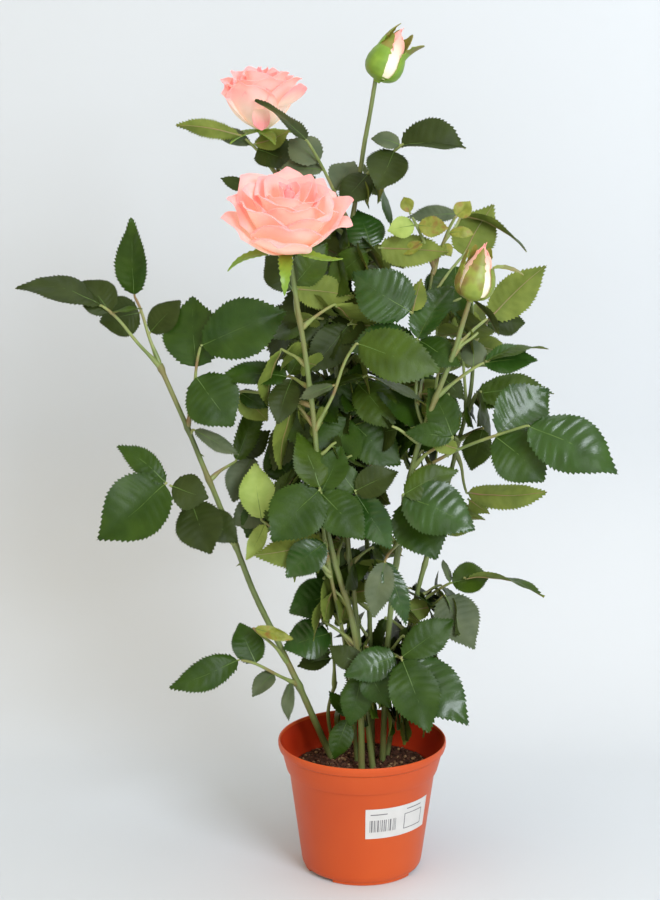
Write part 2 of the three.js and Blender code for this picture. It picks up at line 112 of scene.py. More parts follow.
@dataclass(frozen=True)
class Finish:
    """A coated, moulded or woven surface: two near colours in soft blotches, and a fine relief.

    Args:
        name: The material's name.
        colours: Dark and light sRGB hex of the blotches.
        blotch_mm: Size of a blotch.
        roughness: Roughness of the surface.
        relief_mm: Size of the relief's grains, or 0 for none.
        relief: Strength of the relief.
        cell_mm: Size of the net of fine veins, or 0 for none.
        coat: Weight of a clear coat.
        shine: Strength of the mirror-like part, 0.5 for plain plastic.
        soft: Weight of light scattered inside.
        painted_glow: Share of its own colour that it gives off by emission, painted light that stands in for
            the light that thin cloth lets through.
        ramp_on: Name of a point attribute whose value picks the colour in place of blotches.
    """

    name: str
    colours: tuple[str, ...]
    blotch_mm: float = 14.0
    roughness: float = 0.5
    relief_mm: float = 1.2
    relief: float = 0.15
    cell_mm: float = 0.0
    coat: float = 0.0
    shine: float = 0.5
    soft: float = 0.0
    painted_glow: float = 0.0
    ramp_on: str = ""

    coat_roughness: ClassVar[float] = 0.18
    scatter_mm: ClassVar[float] = 5.0
    scatter_reach: ClassVar[Point] = (1.0, 0.7, 0.5)
    blotch_span: ClassVar[tuple[float, float]] = (0.32, 0.68)
    vein_width: ClassVar[float] = 0.18
    vein_depth: ClassVar[float] = 2.0
    bump_mm: ClassVar[float] = 0.4

    def build(self) -> bpy.types.Material:
        """Makes the material, or returns the one already made."""
        if self.name in bpy.data.materials:
            return bpy.data.materials[self.name]
        material = bpy.data.materials.new(self.name)
        material.use_nodes = True
        tree = material.node_tree
        shader = tree.nodes["Principled BSDF"]
        shader.inputs["Roughness"].default_value = self.roughness
        shader.inputs["Specular IOR Level"].default_value = self.shine
        shader.inputs["Coat Weight"].default_value = self.coat
        shader.inputs["Coat Roughness"].default_value = self.coat_roughness
        if self.soft:
            shader.inputs["Subsurface Weight"].default_value = self.soft
            shader.inputs["Subsurface Scale"].default_value = self.scatter_mm * MM
            shader.inputs["Subsurface Radius"].default_value = self.scatter_reach
        place = add_node(tree, "ShaderNodeTexCoord").outputs["Object"]
        colour = self.colour(tree, place)
        tree.links.new(colour, shader.inputs["Base Color"])
        # Painted light: the finish glows with its own colour though it is no lamp
        if self.painted_glow:
            tree.links.new(colour, shader.inputs["Emission Color"])
            shader.inputs["Emission Strength"].default_value = self.painted_glow
        height = self.height(tree, place)
        if height is not None:
            raised = {"Height": height, "Strength": self.relief, "Distance": self.bump_mm * MM}
            bump = add_node(tree, "ShaderNodeBump", raised)
            tree.links.new(bump.outputs["Normal"], shader.inputs["Normal"])
        return material

    def grain(self, tree: bpy.types.NodeTree, place: bpy.types.NodeSocket, size_mm: float,
              detail: float) -> bpy.types.NodeSocket:
        """Adds a noise whose grains have a size.

        Args:
            tree: The material's node tree.
            place: The coordinates it reads.
            size_mm: Size of a grain, in millimetres.
            detail: How many finer layers it has.

        Returns:
            The noise, from 0 to 1.
        """
        scale = 1 / (size_mm * MM)
        noisy = {"Vector": place, "Scale": scale, "Detail": detail}
        return add_node(tree, "ShaderNodeTexNoise", noisy).outputs["Fac"]

    def colour(self, tree: bpy.types.NodeTree, place: bpy.types.NodeSocket) -> bpy.types.NodeSocket:
        """Adds the colours, dealt out by blotches or by the point attribute.

        Args:
            tree: The material's node tree.
            place: The coordinates it reads.

        Returns:
            The colour.
        """
        steps = [i / max(1, len(self.colours) - 1) for i in range(len(self.colours))]
        if self.ramp_on:
            pick = add_node(tree, "ShaderNodeAttribute", attribute_name=self.ramp_on).outputs["Fac"]
        else:
            pick = self.grain(tree, place, self.blotch_mm, 2.0)
            low, high = self.blotch_span
            steps = [low + (high - low) * step for step in steps]
        ramp = add_node(tree, "ShaderNodeValToRGB", {"Fac": pick})
        set_ramp(ramp, list(zip(steps, self.colours)))
        return ramp.outputs["Color"]

    def height(self, tree: bpy.types.NodeTree, place: bpy.types.NodeSocket) -> bpy.types.NodeSocket | None:
        """Adds the relief: fine grains, and the net of veins over them.

        Args:
            tree: The material's node tree.
            place: The coordinates it reads.

        Returns:
            The height, or None for a smooth surface.
        """
        grains = self.grain(tree, place, self.relief_mm, 3.0) if self.relief_mm else None
        if not self.cell_mm:
            return grains
        cell = {"Vector": place, "Scale": 1 / (self.cell_mm * MM)}
        cells = add_node(tree, "ShaderNodeTexVoronoi", cell, feature="DISTANCE_TO_EDGE")
        near = {0: cells.outputs["Distance"], 1: self.vein_width}
        net = add_node(tree, "ShaderNodeMath", near, operation="MINIMUM").outputs[0]
        summed = {0: net, 1: self.vein_depth, 2: grains or 0.0}
        return add_node(tree, "ShaderNodeMath", summed, operation="MULTIPLY_ADD").outputs[0]


# Moulded polypropylene: even terracotta orange, a faint orange peel and a soft wide highlight
POT_OUTSIDE = Finish("moulded_polypropylene", ("BC4B20", "C45323"), 60, 0.4, 1.6, 0.05, shine=0.25, soft=0.04)
# Painted light: the inside is a deeper, redder copy of the orange, for the shade in the pot and the light
# that its thin wall lets through
POT_INSIDE_PAINTED_LIGHT = Finish("polypropylene_inside_painted_light", ("A8290C", "BE3813"), 40, 0.5, 1.6, 0.06, shine=0.2, soft=0.06)
# Set filling under loose grains: near black brown, dull
FILLING = Finish("set_filling", ("3C2111", "5A3721"), 5, 0.95, 1.0, 0.6)
# Loose grains: bark, and a few of tan fired clay
GRAIN_DARK = Finish("bark_grain", ("422518", "633E2A"), 3, 0.9, 0.6, 0.3)
GRAIN_TAN = Finish("clay_grain", ("866546", "A68661"), 3, 0.9, 0.6, 0.3)
# Plastic skin over wire: olive with browner stretches, satin from the mould
CANE_SKIN = Finish("moulded_cane_skin", ("535F32", "708048", "787244"), 38, 0.38, 1.5, 0.25)
STALK_SKIN = Finish("moulded_stalk_skin", ("6A7B42", "859253", "846E48"), 22, 0.42, 1.2, 0.2)
# Coated polyester: a resin coat gives the upper side its sheen, its weave and net of veins stay faint
LEAF_DEEP = Finish("coated_polyester_deep", ("213A08", "2F480E"), 18, 0.42, 0.9, 0.2, cell_mm=3.0, shine=0.2)
LEAF_MID = Finish("coated_polyester_mid", ("2F420C", "3D5313"), 18, 0.44, 0.9, 0.2, cell_mm=3.0, shine=0.2)
LEAF_GLOSS = Finish("coated_polyester_gloss", ("1F3C0E", "2D4C19"), 18, 0.3, 0.9, 0.2, cell_mm=3.0, coat=0.14,
                    shine=0.34)
# Painted shade: a browner, duller copy of the leaf green for leaflets in shade, then a greyed copy for those
# that look grey in shade
LEAF_PAINTED_SHADE = Finish("painted_shade_polyester", ("27330F", "323F16"), 18, 0.5, 0.9, 0.2, cell_mm=3.0, shine=0.16)
LEAF_GREY_PAINTED_SHADE = Finish("dull_polyester_painted_grey_shade", ("414F34", "566143"), 16, 0.6, 0.9, 0.2, cell_mm=3.0, shine=0.35)
# Bare cloth without its coat: the lighter underside, and the leaves sewn on inside out
LEAF_UNDER = Finish("bare_polyester_under", ("5C6C27", "728034"), 14, 0.7, 0.8, 0.2, cell_mm=2.8, shine=0.3)
LEAF_PALE = Finish("pale_polyester", ("899F49", "A1B55E"), 12, 0.6, 0.8, 0.2, cell_mm=2.8, shine=0.3)
# Young leaflets, dyed yellow green with rusty stretches
LEAF_YOUNG = Finish("young_polyester", ("6C7421", "838A35", "85682F"), 7, 0.5, 0.8, 0.2, shine=0.35)
# The midrib: pressed into the upper side, and a moulded wire skin under the leaf
VEIN_TOP = Finish("pressed_midrib", ("49652A", "5C7737"), 14, 0.45, 0.9, 0.1, shine=0.3)
VEIN_UNDER = Finish("stalk_midrib", ("7E7D49", "8B6E48"), 14, 0.5, 0.9, 0.1)
# Brushed polyester petals: deep coral at the claw is painted shade of the clefts, then the dye runs from
# cream to salmon pink at the lip; they also give off a painted glow
PETAL = Finish("petal_cloth_painted_shade_and_glow", ("FF7850", "FFB090", "FFDCC6", "FFC2B4", "FF8A90"), 9, 0.75, 0.9, 0.1,
               shine=0.25, soft=0.6, painted_glow=0.14, ramp_on="dye_and_shade")
# The half open rose keeps its claws cream, and also gives off a painted glow
PETAL_PALE = Finish("pale_petal_cloth_painted_glow", ("F8E4C4", "FFE8D0", "FFDCC6", "FFBAB0", "FF8C92"), 9, 0.75,
                    0.9, 0.1, shine=0.25, soft=0.6, painted_glow=0.12, ramp_on="dye_and_shade")
# A bud shows its cream foot between the sepals, and only its tip is pink; it also gives off a painted glow
BUD_PETAL = Finish("bud_cloth_painted_glow", ("FBEFC8", "FDEFD2", "FAB8A6", "F5868C"), 9, 0.7, 0.9, 0.1,
                   shine=0.3, soft=0.5, painted_glow=0.12, ramp_on="dye_and_shade")
# Moulded sepals: fresh green, olive with brown on the older bud, and browner at their tips
SEPAL = Finish("moulded_sepal", ("678B26", "799B30"), 8, 0.45, 0.9, 0.15, soft=0.1)
SEPAL_OLIVE = Finish("moulded_sepal_olive", ("74862C", "869638", "7A6A34"), 12, 0.45, 0.9, 0.15, soft=0.1)
SEPAL_TIP = Finish("moulded_sepal_tip", ("707D27", "81732E"), 6, 0.5, 0.9, 0.15)
# Coated label paper with a grey print
LABEL_PAPER = Finish("label_paper", ("C5C5C4", "CCCCCB"), 10, 0.55, 1.2, 0.03)
LABEL_PRINT = Finish("label_print", ("636367", "737377"), 4, 0.6, 1.2, 0.02)
# Rolled paper backdrop, faintly uneven
BACKDROP = Finish("rolled_backdrop", ("CAD0D6", "CCD2D8"), 400, 0.9, 0.0, 0.0)


# ---------------------------------------------------------------- mesh tools


@dataclass
class Gathered:
    """Vertices, faces and finishes that become one joined piece.

    Args:
        finishes: The finishes that the faces pick from by index.
    """

    finishes: list[Finish] = field(default_factory=list)
    points: list[np.ndarray] = field(default_factory=list)
    faces: Faces = field(default_factory=list)
    slots: list[int] = field(default_factory=list)
    dye_and_shade: list[np.ndarray] = field(default_factory=list)
    count: int = 0

    def cover(self, start: int, faces: Sequence[Sequence[int]], finish: Finish) -> None:
        """Adds faces over points that are there or follow.

        Args:
            start: Index of the first of the points.
            faces: The faces, as indices from there.
            finish: The finish of the faces.
        """
        if finish not in self.finishes:
            self.finishes.append(finish)
        self.faces.extend(tuple(start + i for i in face) for face in faces)
        self.slots.extend([self.finishes.index(finish)] * len(faces))

    def add(self, points: np.ndarray, faces: Sequence[Sequence[int]], finish: Finish,
            dye_and_shade: np.ndarray | None = None) -> None:
        """Adds a shape.

        Args:
            points: Its vertices, in millimetres.
            faces: Its faces, as indices into points.
            finish: The finish of its faces.
            dye_and_shade: A value for each vertex, for a finish that reads one; on the front rose's petals
                its low end is painted shade.
        """
        self.cover(self.count, faces, finish)
        self.points.append(points)
        self.dye_and_shade.append(np.zeros(len(points)) if dye_and_shade is None else dye_and_shade)
        self.count += len(points)

    def build(self, name: str, sharp_deg: float = 50.0) -> bpy.types.Object:
        """Makes the joined piece.

        Args:
            name: The piece's name.
            sharp_deg: Edges that turn more than this stay sharp.

        Returns:
            The new object, in metres, at the origin.
        """
        mesh = bpy.data.meshes.new(name)
        points = np.concatenate(self.points) * MM
        mesh.from_pydata(points.tolist(), [], self.faces)
        mesh.polygons.foreach_set("material_index", self.slots)
        for finish in self.finishes:
            mesh.materials.append(finish.build())
        if any(finish.ramp_on for finish in self.finishes):
            drawn = mesh.attributes.new("dye_and_shade", "FLOAT", "POINT")
            drawn.data.foreach_set("value", np.concatenate(self.dye_and_shade).astype(np.float32))
        mesh.update()
        piece = bpy.data.objects.new(name, mesh)
        bpy.context.scene.collection.objects.link(piece)
        select_only(piece)
        bpy.ops.object.shade_smooth_by_angle(angle=math.radians(sharp_deg))
        return piece


def deselect() -> None:
    """Leaves no object selected."""
    for other in bpy.context.selected_objects:
        other.select_set(False)


def select_only(piece: bpy.types.Object) -> None:
    """Makes a piece the only one selected, and the active one."""
    deselect()
    piece.select_set(True)
    bpy.context.view_layer.objects.active = piece


def put(piece: bpy.types.Object, node: str = "") -> None:
    """Puts a piece on the bush.

    Args:
        piece: The piece.
        node: The CAD node that it replaces, if any.
    """
    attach(piece, "root")
    if node:
        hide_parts(node)


def unit(v: np.ndarray) -> np.ndarray:
    """A vector at length one."""
    return v / max(1e-9, float(np.linalg.norm(v)))


def toward(degrees: float) -> np.ndarray:
    """The level direction at an angle from +X towards +Y."""
    return np.array((math.cos(math.radians(degrees)), math.sin(math.radians(degrees)), 0.0))


def axis_path(heights: Sequence[float]) -> np.ndarray:
    """Points on the Z axis at given heights."""
    return np.outer(heights, UP)


def turn_about(v: np.ndarray, axis: np.ndarray, degrees: float) -> np.ndarray:
    """Turns a vector about an axis.

    Args:
        v: The vector.
        axis: The axis, at length one.
        degrees: The angle, by the right-hand rule.

    Returns:
        The turned vector.
    """
    a = math.radians(degrees)
    return v * math.cos(a) + np.cross(axis, v) * math.sin(a) + axis * float(axis @ v) * (1 - math.cos(a))


def grid_faces(rows: int, cols: int, start: int = 0, flip: bool = False) -> Faces:
    """Quads over a grid of points that runs row by row.

    Args:
        rows: Rows of points.
        cols: Points in a row.
        start: Index of the first point.
        flip: True for faces that look the other way.

    Returns:
        The faces.
    """
    faces = []
    for r in range(rows - 1):
        for c in range(cols - 1):
            a = start + r * cols + c
            quad = (a, a + 1, a + cols + 1, a + cols)
            faces.append(quad[::-1] if flip else quad)
    return faces


def sheet_faces(rows: int, cols: int, flip: bool = False) -> Faces:
    """Faces of a closed thin sheet: two grids of points, one after the other, and the strip round them.

    Args:
        rows: Rows of points.
        cols: Points in a row.
        flip: True for faces that look the other way.

    Returns:
        The faces.
    """
    count = rows * cols
    faces = grid_faces(rows, cols, 0, flip) + grid_faces(rows, cols, count, not flip)
    rim = [r * cols for r in range(rows)] + [(rows - 1) * cols + c for c in range(1, cols)]
    rim += [r * cols + cols - 1 for r in range(rows - 2, -1, -1)] + list(range(cols - 2, 0, -1))
    for a, b in zip(rim, rim[1:] + rim[:1]):
        faces.append((a, b, b + count, a + count) if flip else (b, a, a + count, b + count))
    return faces


def ring_faces(rings: int, sides: int, flip: bool = False) -> Faces:
    """Faces over rings of points, closed at both ends by fans to the two points that follow them.

    Args:
        rings: How many rings.
        sides: Points in a ring.
        flip: True for faces that look the other way.

    Returns:
        The faces.
    """
    faces: Faces = []
    for r in range(rings - 1):
        for s in range(sides):
            a, b = r * sides + s, r * sides + (s + 1) % sides
            faces.append((a, a + sides, b + sides, b) if flip else (a, b, b + sides, a + sides))
    last, middle = (rings - 1) * sides, rings * sides
    for s in range(sides):
        beside = (s + 1) % sides
        for fan in ((beside, s, middle), (last + s, last + beside, middle + 1)):
            faces.append(fan[::-1] if flip else fan)
    return faces


def tube(path: np.ndarray, radii: np.ndarray, sides: int) -> tuple[np.ndarray, Faces]:
    """A closed round tube along a path.

    Args:
        path: Points along its middle, in millimetres.
        radii: Its radius at each point.
        sides: Corners of its section.

    Returns:
        Its vertices and faces.
    """
    ahead = np.gradient(path, axis=0)
    ahead /= np.linalg.norm(ahead, axis=1)[:, None]
    side = unit(np.cross(ahead[0], (0.3, 0.9, 0.1)))
    rings = []
    angles = np.arange(sides) * 2 * math.pi / sides
    for spot, radius, on in zip(path, radii, ahead):
        side = unit(side - on * (on @ side))
        other = np.cross(on, side)
        rings.append(spot + radius * (np.outer(np.cos(angles), side) + np.outer(np.sin(angles), other)))
    return np.concatenate([*rings, path[:1], path[-1:]]), ring_faces(len(path), sides)


# ---------------------------------------------------------------- limbs


@dataclass(frozen=True)
class Limb:
    """A cane or shoot: radius at its foot and tip, and the places it bends through.

    Args:
        node: The CAD node it replaces.
        foot: Radius at the foot, in millimetres.
        tip: Radius at the tip.
        bends: Places from the foot up, in millimetres.
    """

    node: str
    foot: float
    tip: float
    bends: tuple[Point, ...]

    def curve(self, share: float) -> np.ndarray:
        """A point of the centripetal curve through the bends.

        Args:
            share: From 0 at the foot to 1 at the tip.

        Returns:
            The point, in millimetres.
        """
        p = [np.array(b, float) for b in self.bends]
        p = [2 * p[0] - p[1], *p, 2 * p[-1] - p[-2]]
        spans = len(self.bends) - 1
        at = min(max(share, 0.0), 1.0) * spans
        i = min(int(at), spans - 1)
        t = at - i
        a, b, c, d = p[i : i + 4]
        chords = (b - a, c - b, d - c)
        g0, g1, g2 = (math.sqrt(max(1e-6, float(np.linalg.norm(chord)))) for chord in chords)
        m1 = ((b - a) / g0 - (c - a) / (g0 + g1) + (c - b) / g1) * g1
        m2 = ((c - b) / g1 - (d - b) / (g1 + g2) + (d - c) / g2) * g1
        return b + m1 * t + (3 * (c - b) - 2 * m1 - m2) * t**2 + (2 * (b - c) + m1 + m2) * t**3

    def share_at(self, height: float) -> float:
        """The share of the curve that reaches a height, in millimetres."""
        low, high = 0.0, 1.0
        for _ in range(HALVINGS):
            middle = (low + high) / 2
            low, high = (middle, high) if self.curve(middle)[2] < height else (low, middle)
        return low

    def radius(self, share: float) -> float:
        """Its radius at a share of its length, between the knots."""
        return (self.foot + (self.tip - self.foot) * share) * SLIM


# Height of the filling, and of the feet of the canes in it, in millimetres
SOIL_TOP = 78.0
FOOT_Z = SOIL_TOP - 6
# Share of a limb's radius that it has between its knots
SLIM = 0.76
# Steps of the search for a height on a limb
HALVINGS = 26

LIMBS = {
    limb.node: limb
    for limb in (
        Limb("cane_left", 3.6, 2.3,
             ((-21, 22, FOOT_Z), (-48, 12, 139), (-83, 2, 221), (-113, -8, 306), (-150, -15, 399))),
        Limb("cane_short_left", 2.2, 1.6, ((-20, 37, FOOT_Z), (-26, 33, 112), (-20, 33, 137))),
        Limb("cane_front_low", 2.2, 1.8,
             ((-3.5, 14, FOOT_Z), (-11, 4, 165), (-23, -12, 230), (-30, -20, 269))),
        Limb("cane_front_rose", 3.4, 2.2,
             ((0, -6, FOOT_Z), (-5, -8, 184), (-26, -18, 270), (-40, -38, 388), (-53, -60, 484))),
        Limb("cane_tall_bud", 3.2, 2.1,
             ((9, 1, FOOT_Z), (-3, 7, 181), (-15, 14, 305), (-18, 16, 432), (-1, 10, 544), (8, 5, 604))),
        Limb("cane_back_rose", 2.6, 2.0,
             ((9, 26, FOOT_Z), (6, 33, 206), (-1, 36, 292), (-29, 40, 385), (-60, 42, 525), (-75, 40, 570))),
        Limb("cane_right_bud", 3.2, 2.2,
             ((16, 16, FOOT_Z), (21, 0, 200), (36, -22, 323), (61, -40, 404), (75, -50, 453))),
        Limb("cane_right_back", 2.8, 1.8,
             ((19, 25, FOOT_Z), (41, 34, 199), (71, 40, 314), (83, 38, 374), (82, 34, 440))),
        Limb("shoot_young", 1.9, 1.4, ((44.6, -28.3, 353), (39, -18, 372), (43, 0, 415), (53, 10, 476))),
    )
}


@dataclass(frozen=True)
class Thorn:
    """A small hooked thorn on a limb.

    Args:
        limb: The limb's node name.
        height: Where it stands, in millimetres.
        heading: Where it points, in degrees from +X towards +Y.
        length: Its length.
    """

    limb: str
    height: float
    heading: float
    length: float = 5.0


@dataclass
class CaneMaker:
    """Makes the canes: plastic skins with knots at the leaf stalks, small kinks and a few thorns.

    Args:
        knots: Heights of the leaf stalks on each limb.
        ring_mm: Distance between rings of the mesh.
        sides: Corners of a cane's section.
        kink_mm: How far a cane strays from its curve.
        knot_swell: How much thicker a knot is, as a share of the radius.
        knot_mm: Half the height of a knot.
        grain_mm: Height of the grain of the skin.
        thorns: The thorns.
    """

    knots: dict[str, list[float]]
    ring_mm: float = 3.5
    sides: int = 14
    kink_mm: float = 0.5
    knot_swell: float = 0.34
    knot_mm: float = 3.4
    grain_mm: float = 0.12
    thorns: tuple[Thorn, ...] = (
        Thorn("cane_left", 243, 175, 5), Thorn("cane_left", 262, 200, 4), Thorn("cane_left", 330, 10, 4),
        Thorn("cane_tall_bud", 240, 180, 4), Thorn("cane_tall_bud", 560, 200, 3),
        Thorn("cane_right_bud", 238, 30, 4), Thorn("cane_right_bud", 345, 190, 4),
        Thorn("cane_front_rose", 210, 20, 4), Thorn("cane_front_rose", 330, 170, 4),
        Thorn("cane_back_rose", 250, 90, 4), Thorn("cane_right_back", 150, 40, 4),
        Thorn("cane_right_back", 260, 80, 4),
    )

    def skin(self, limb: Limb) -> bpy.types.Object:
        """Makes one limb with its knots and thorns.

        Args:
            limb: The limb.

        Returns:
            The piece.
        """
        length = sum(np.linalg.norm(limb.curve(i / 20) - limb.curve((i + 1) / 20)) for i in range(20))
        rings = max(16, int(length / self.ring_mm))
        shares = np.linspace(limb.share_at(SOIL_TOP - 1.5) if limb.bends[0][2] == FOOT_Z else 0, 1, rings)
        path = np.array([limb.curve(s) for s in shares])
        radii = np.array([limb.radius(s) for s in shares])
        for i, (x, y, z) in enumerate(path):
            fade = min(1.0, (1 - shares[i]) * 6, shares[i] * 6)
            stray = noise.noise_vector(Vector((x, y, z)) * 0.021)
            path[i] += np.array(stray) * self.kink_mm * fade * 2
            radii[i] *= 1 + 0.05 * noise.noise(Vector((x, y, z)) * 0.09)
        for height in self.knots.get(limb.node, []):
            radii *= 1 + self.knot_swell * np.exp(-(((path[:, 2] - height) / self.knot_mm) ** 2))
        piece = Gathered()
        points, faces = tube(path, radii, self.sides)
        for i in range(len(points)):
            grain = noise.noise(Vector(points[i]) * 0.35)
            near = path[np.argmin(np.abs(path[:, 2] - points[i][2]))]
            points[i] += unit(points[i] - near) * self.grain_mm * grain
        piece.add(points, faces, CANE_SKIN)
        for thorn in self.thorns:
            if thorn.limb == limb.node:
                self.add_thorn(piece, limb, thorn)
        return piece.build("skin_" + limb.node)

    def add_thorn(self, piece: Gathered, limb: Limb, thorn: Thorn) -> None:
        """Adds a thorn to a limb's skin.

        Args:
            piece: The skin.
            limb: The limb.
            thorn: The thorn.
        """
        share = limb.share_at(thorn.height)
        root = limb.curve(share)
        out = toward(thorn.heading)
        path = np.array([root + (out * s - UP * 0.45 * s**2) * thorn.length for s in np.linspace(0, 1, 5)])
        radii = np.array([1.7, 1.25, 0.8, 0.4, 0.08]) * (0.6 + 0.1 * thorn.length)
        radii[0] = max(radii[0], limb.radius(share) * 0.8)
        piece.add(*tube(path, radii, 7), CANE_SKIN)

    def build(self) -> None:
        """Makes every limb."""
        for limb in LIMBS.values():
            put(self.skin(limb), limb.node)


# ---------------------------------------------------------------- foliage


class Tone(Enum):
    """The finish of a leaflet's upper side."""

    DEEP = "deep"
    MID = "mid"
    GLOSS = "gloss"
    # The dark and grey tones are painted shade
    DARK = "dark"
    GREY = "grey"
    PALE = "pale"
    YOUNG = "young"


UPPER = dict(zip(Tone, (LEAF_DEEP, LEAF_MID, LEAF_GLOSS, LEAF_PAINTED_SHADE, LEAF_GREY_PAINTED_SHADE, LEAF_PALE, LEAF_YOUNG)))
LOWER = {tone: LEAF_UNDER for tone in Tone} | {Tone.PALE: LEAF_PALE, Tone.YOUNG: LEAF_YOUNG}


@dataclass(frozen=True)
class Leaf:
    """A leaflet in the fan of a spray.

    Args:
        heading: Where it points in the fan's plane: 0 right, 90 up, 180 left.
        length: Its length in millimetres.
        back: How far back from the end of the stalk it stands.
        wide: Its width as a share of its length.
        turn: How far it is turned about its own midrib, in degrees. At 180 its underside shows.
        tone: The finish of its upper side.
        lift: How far its tip is raised out of the fan, in degrees.
        droop: How far its blade bends down from base to tip, in degrees.
        fold: How much more its halves are raised along the midrib, in degrees.
    """

    heading: float
    length: float
    back: float = 0.0
    wide: float = 0.64
    turn: float = 0.0
    tone: Tone = Tone.DEEP
    lift: float = 0.0
    droop: float = 24.0
    fold: float = 0.0


@dataclass(frozen=True)
class Spray:
    """A compound leaf or a knot of them on one stalk.

    Args:
        node: The CAD node it replaces, or the name of an extra spray.
        limb: The limb that carries it.
        height: Where its stalk leaves the limb, in millimetres.
        heel: Where its stalk ends.
        face: Where the fan looks: 0 up, 90 to the front, -90 to the back.
        leaves: Its leaflets.
        spin: Turn of the fan about Z, in degrees.
    """

    node: str
    limb: str
    height: float
    heel: Point
    face: float
    leaves: tuple[Leaf, ...]
    spin: float = 0.0


def compound(heading: float, length: float) -> tuple[Leaf, ...]:
    """A regular compound leaf: an end leaflet and two pairs behind it.

    Args:
        heading: Where the end leaflet points.
        length: Its length.

    Returns:
        The leaflets.
    """
    leaves = [Leaf(heading, length)]
    for back, share, spread in ((6, 0.86, 58), (24, 0.7, 68)):
        for hand in (-1, 1):
            leaves.append(Leaf(heading + hand * spread, length * share, back, turn=hand * 12))
    return tuple(leaves)


# Letters for the tones in the lists below; a leaflet without one is deep. K and A are painted shade
M, G, K, A, P, Y = Tone.MID, Tone.GLOSS, Tone.DARK, Tone.GREY, Tone.PALE, Tone.YOUNG

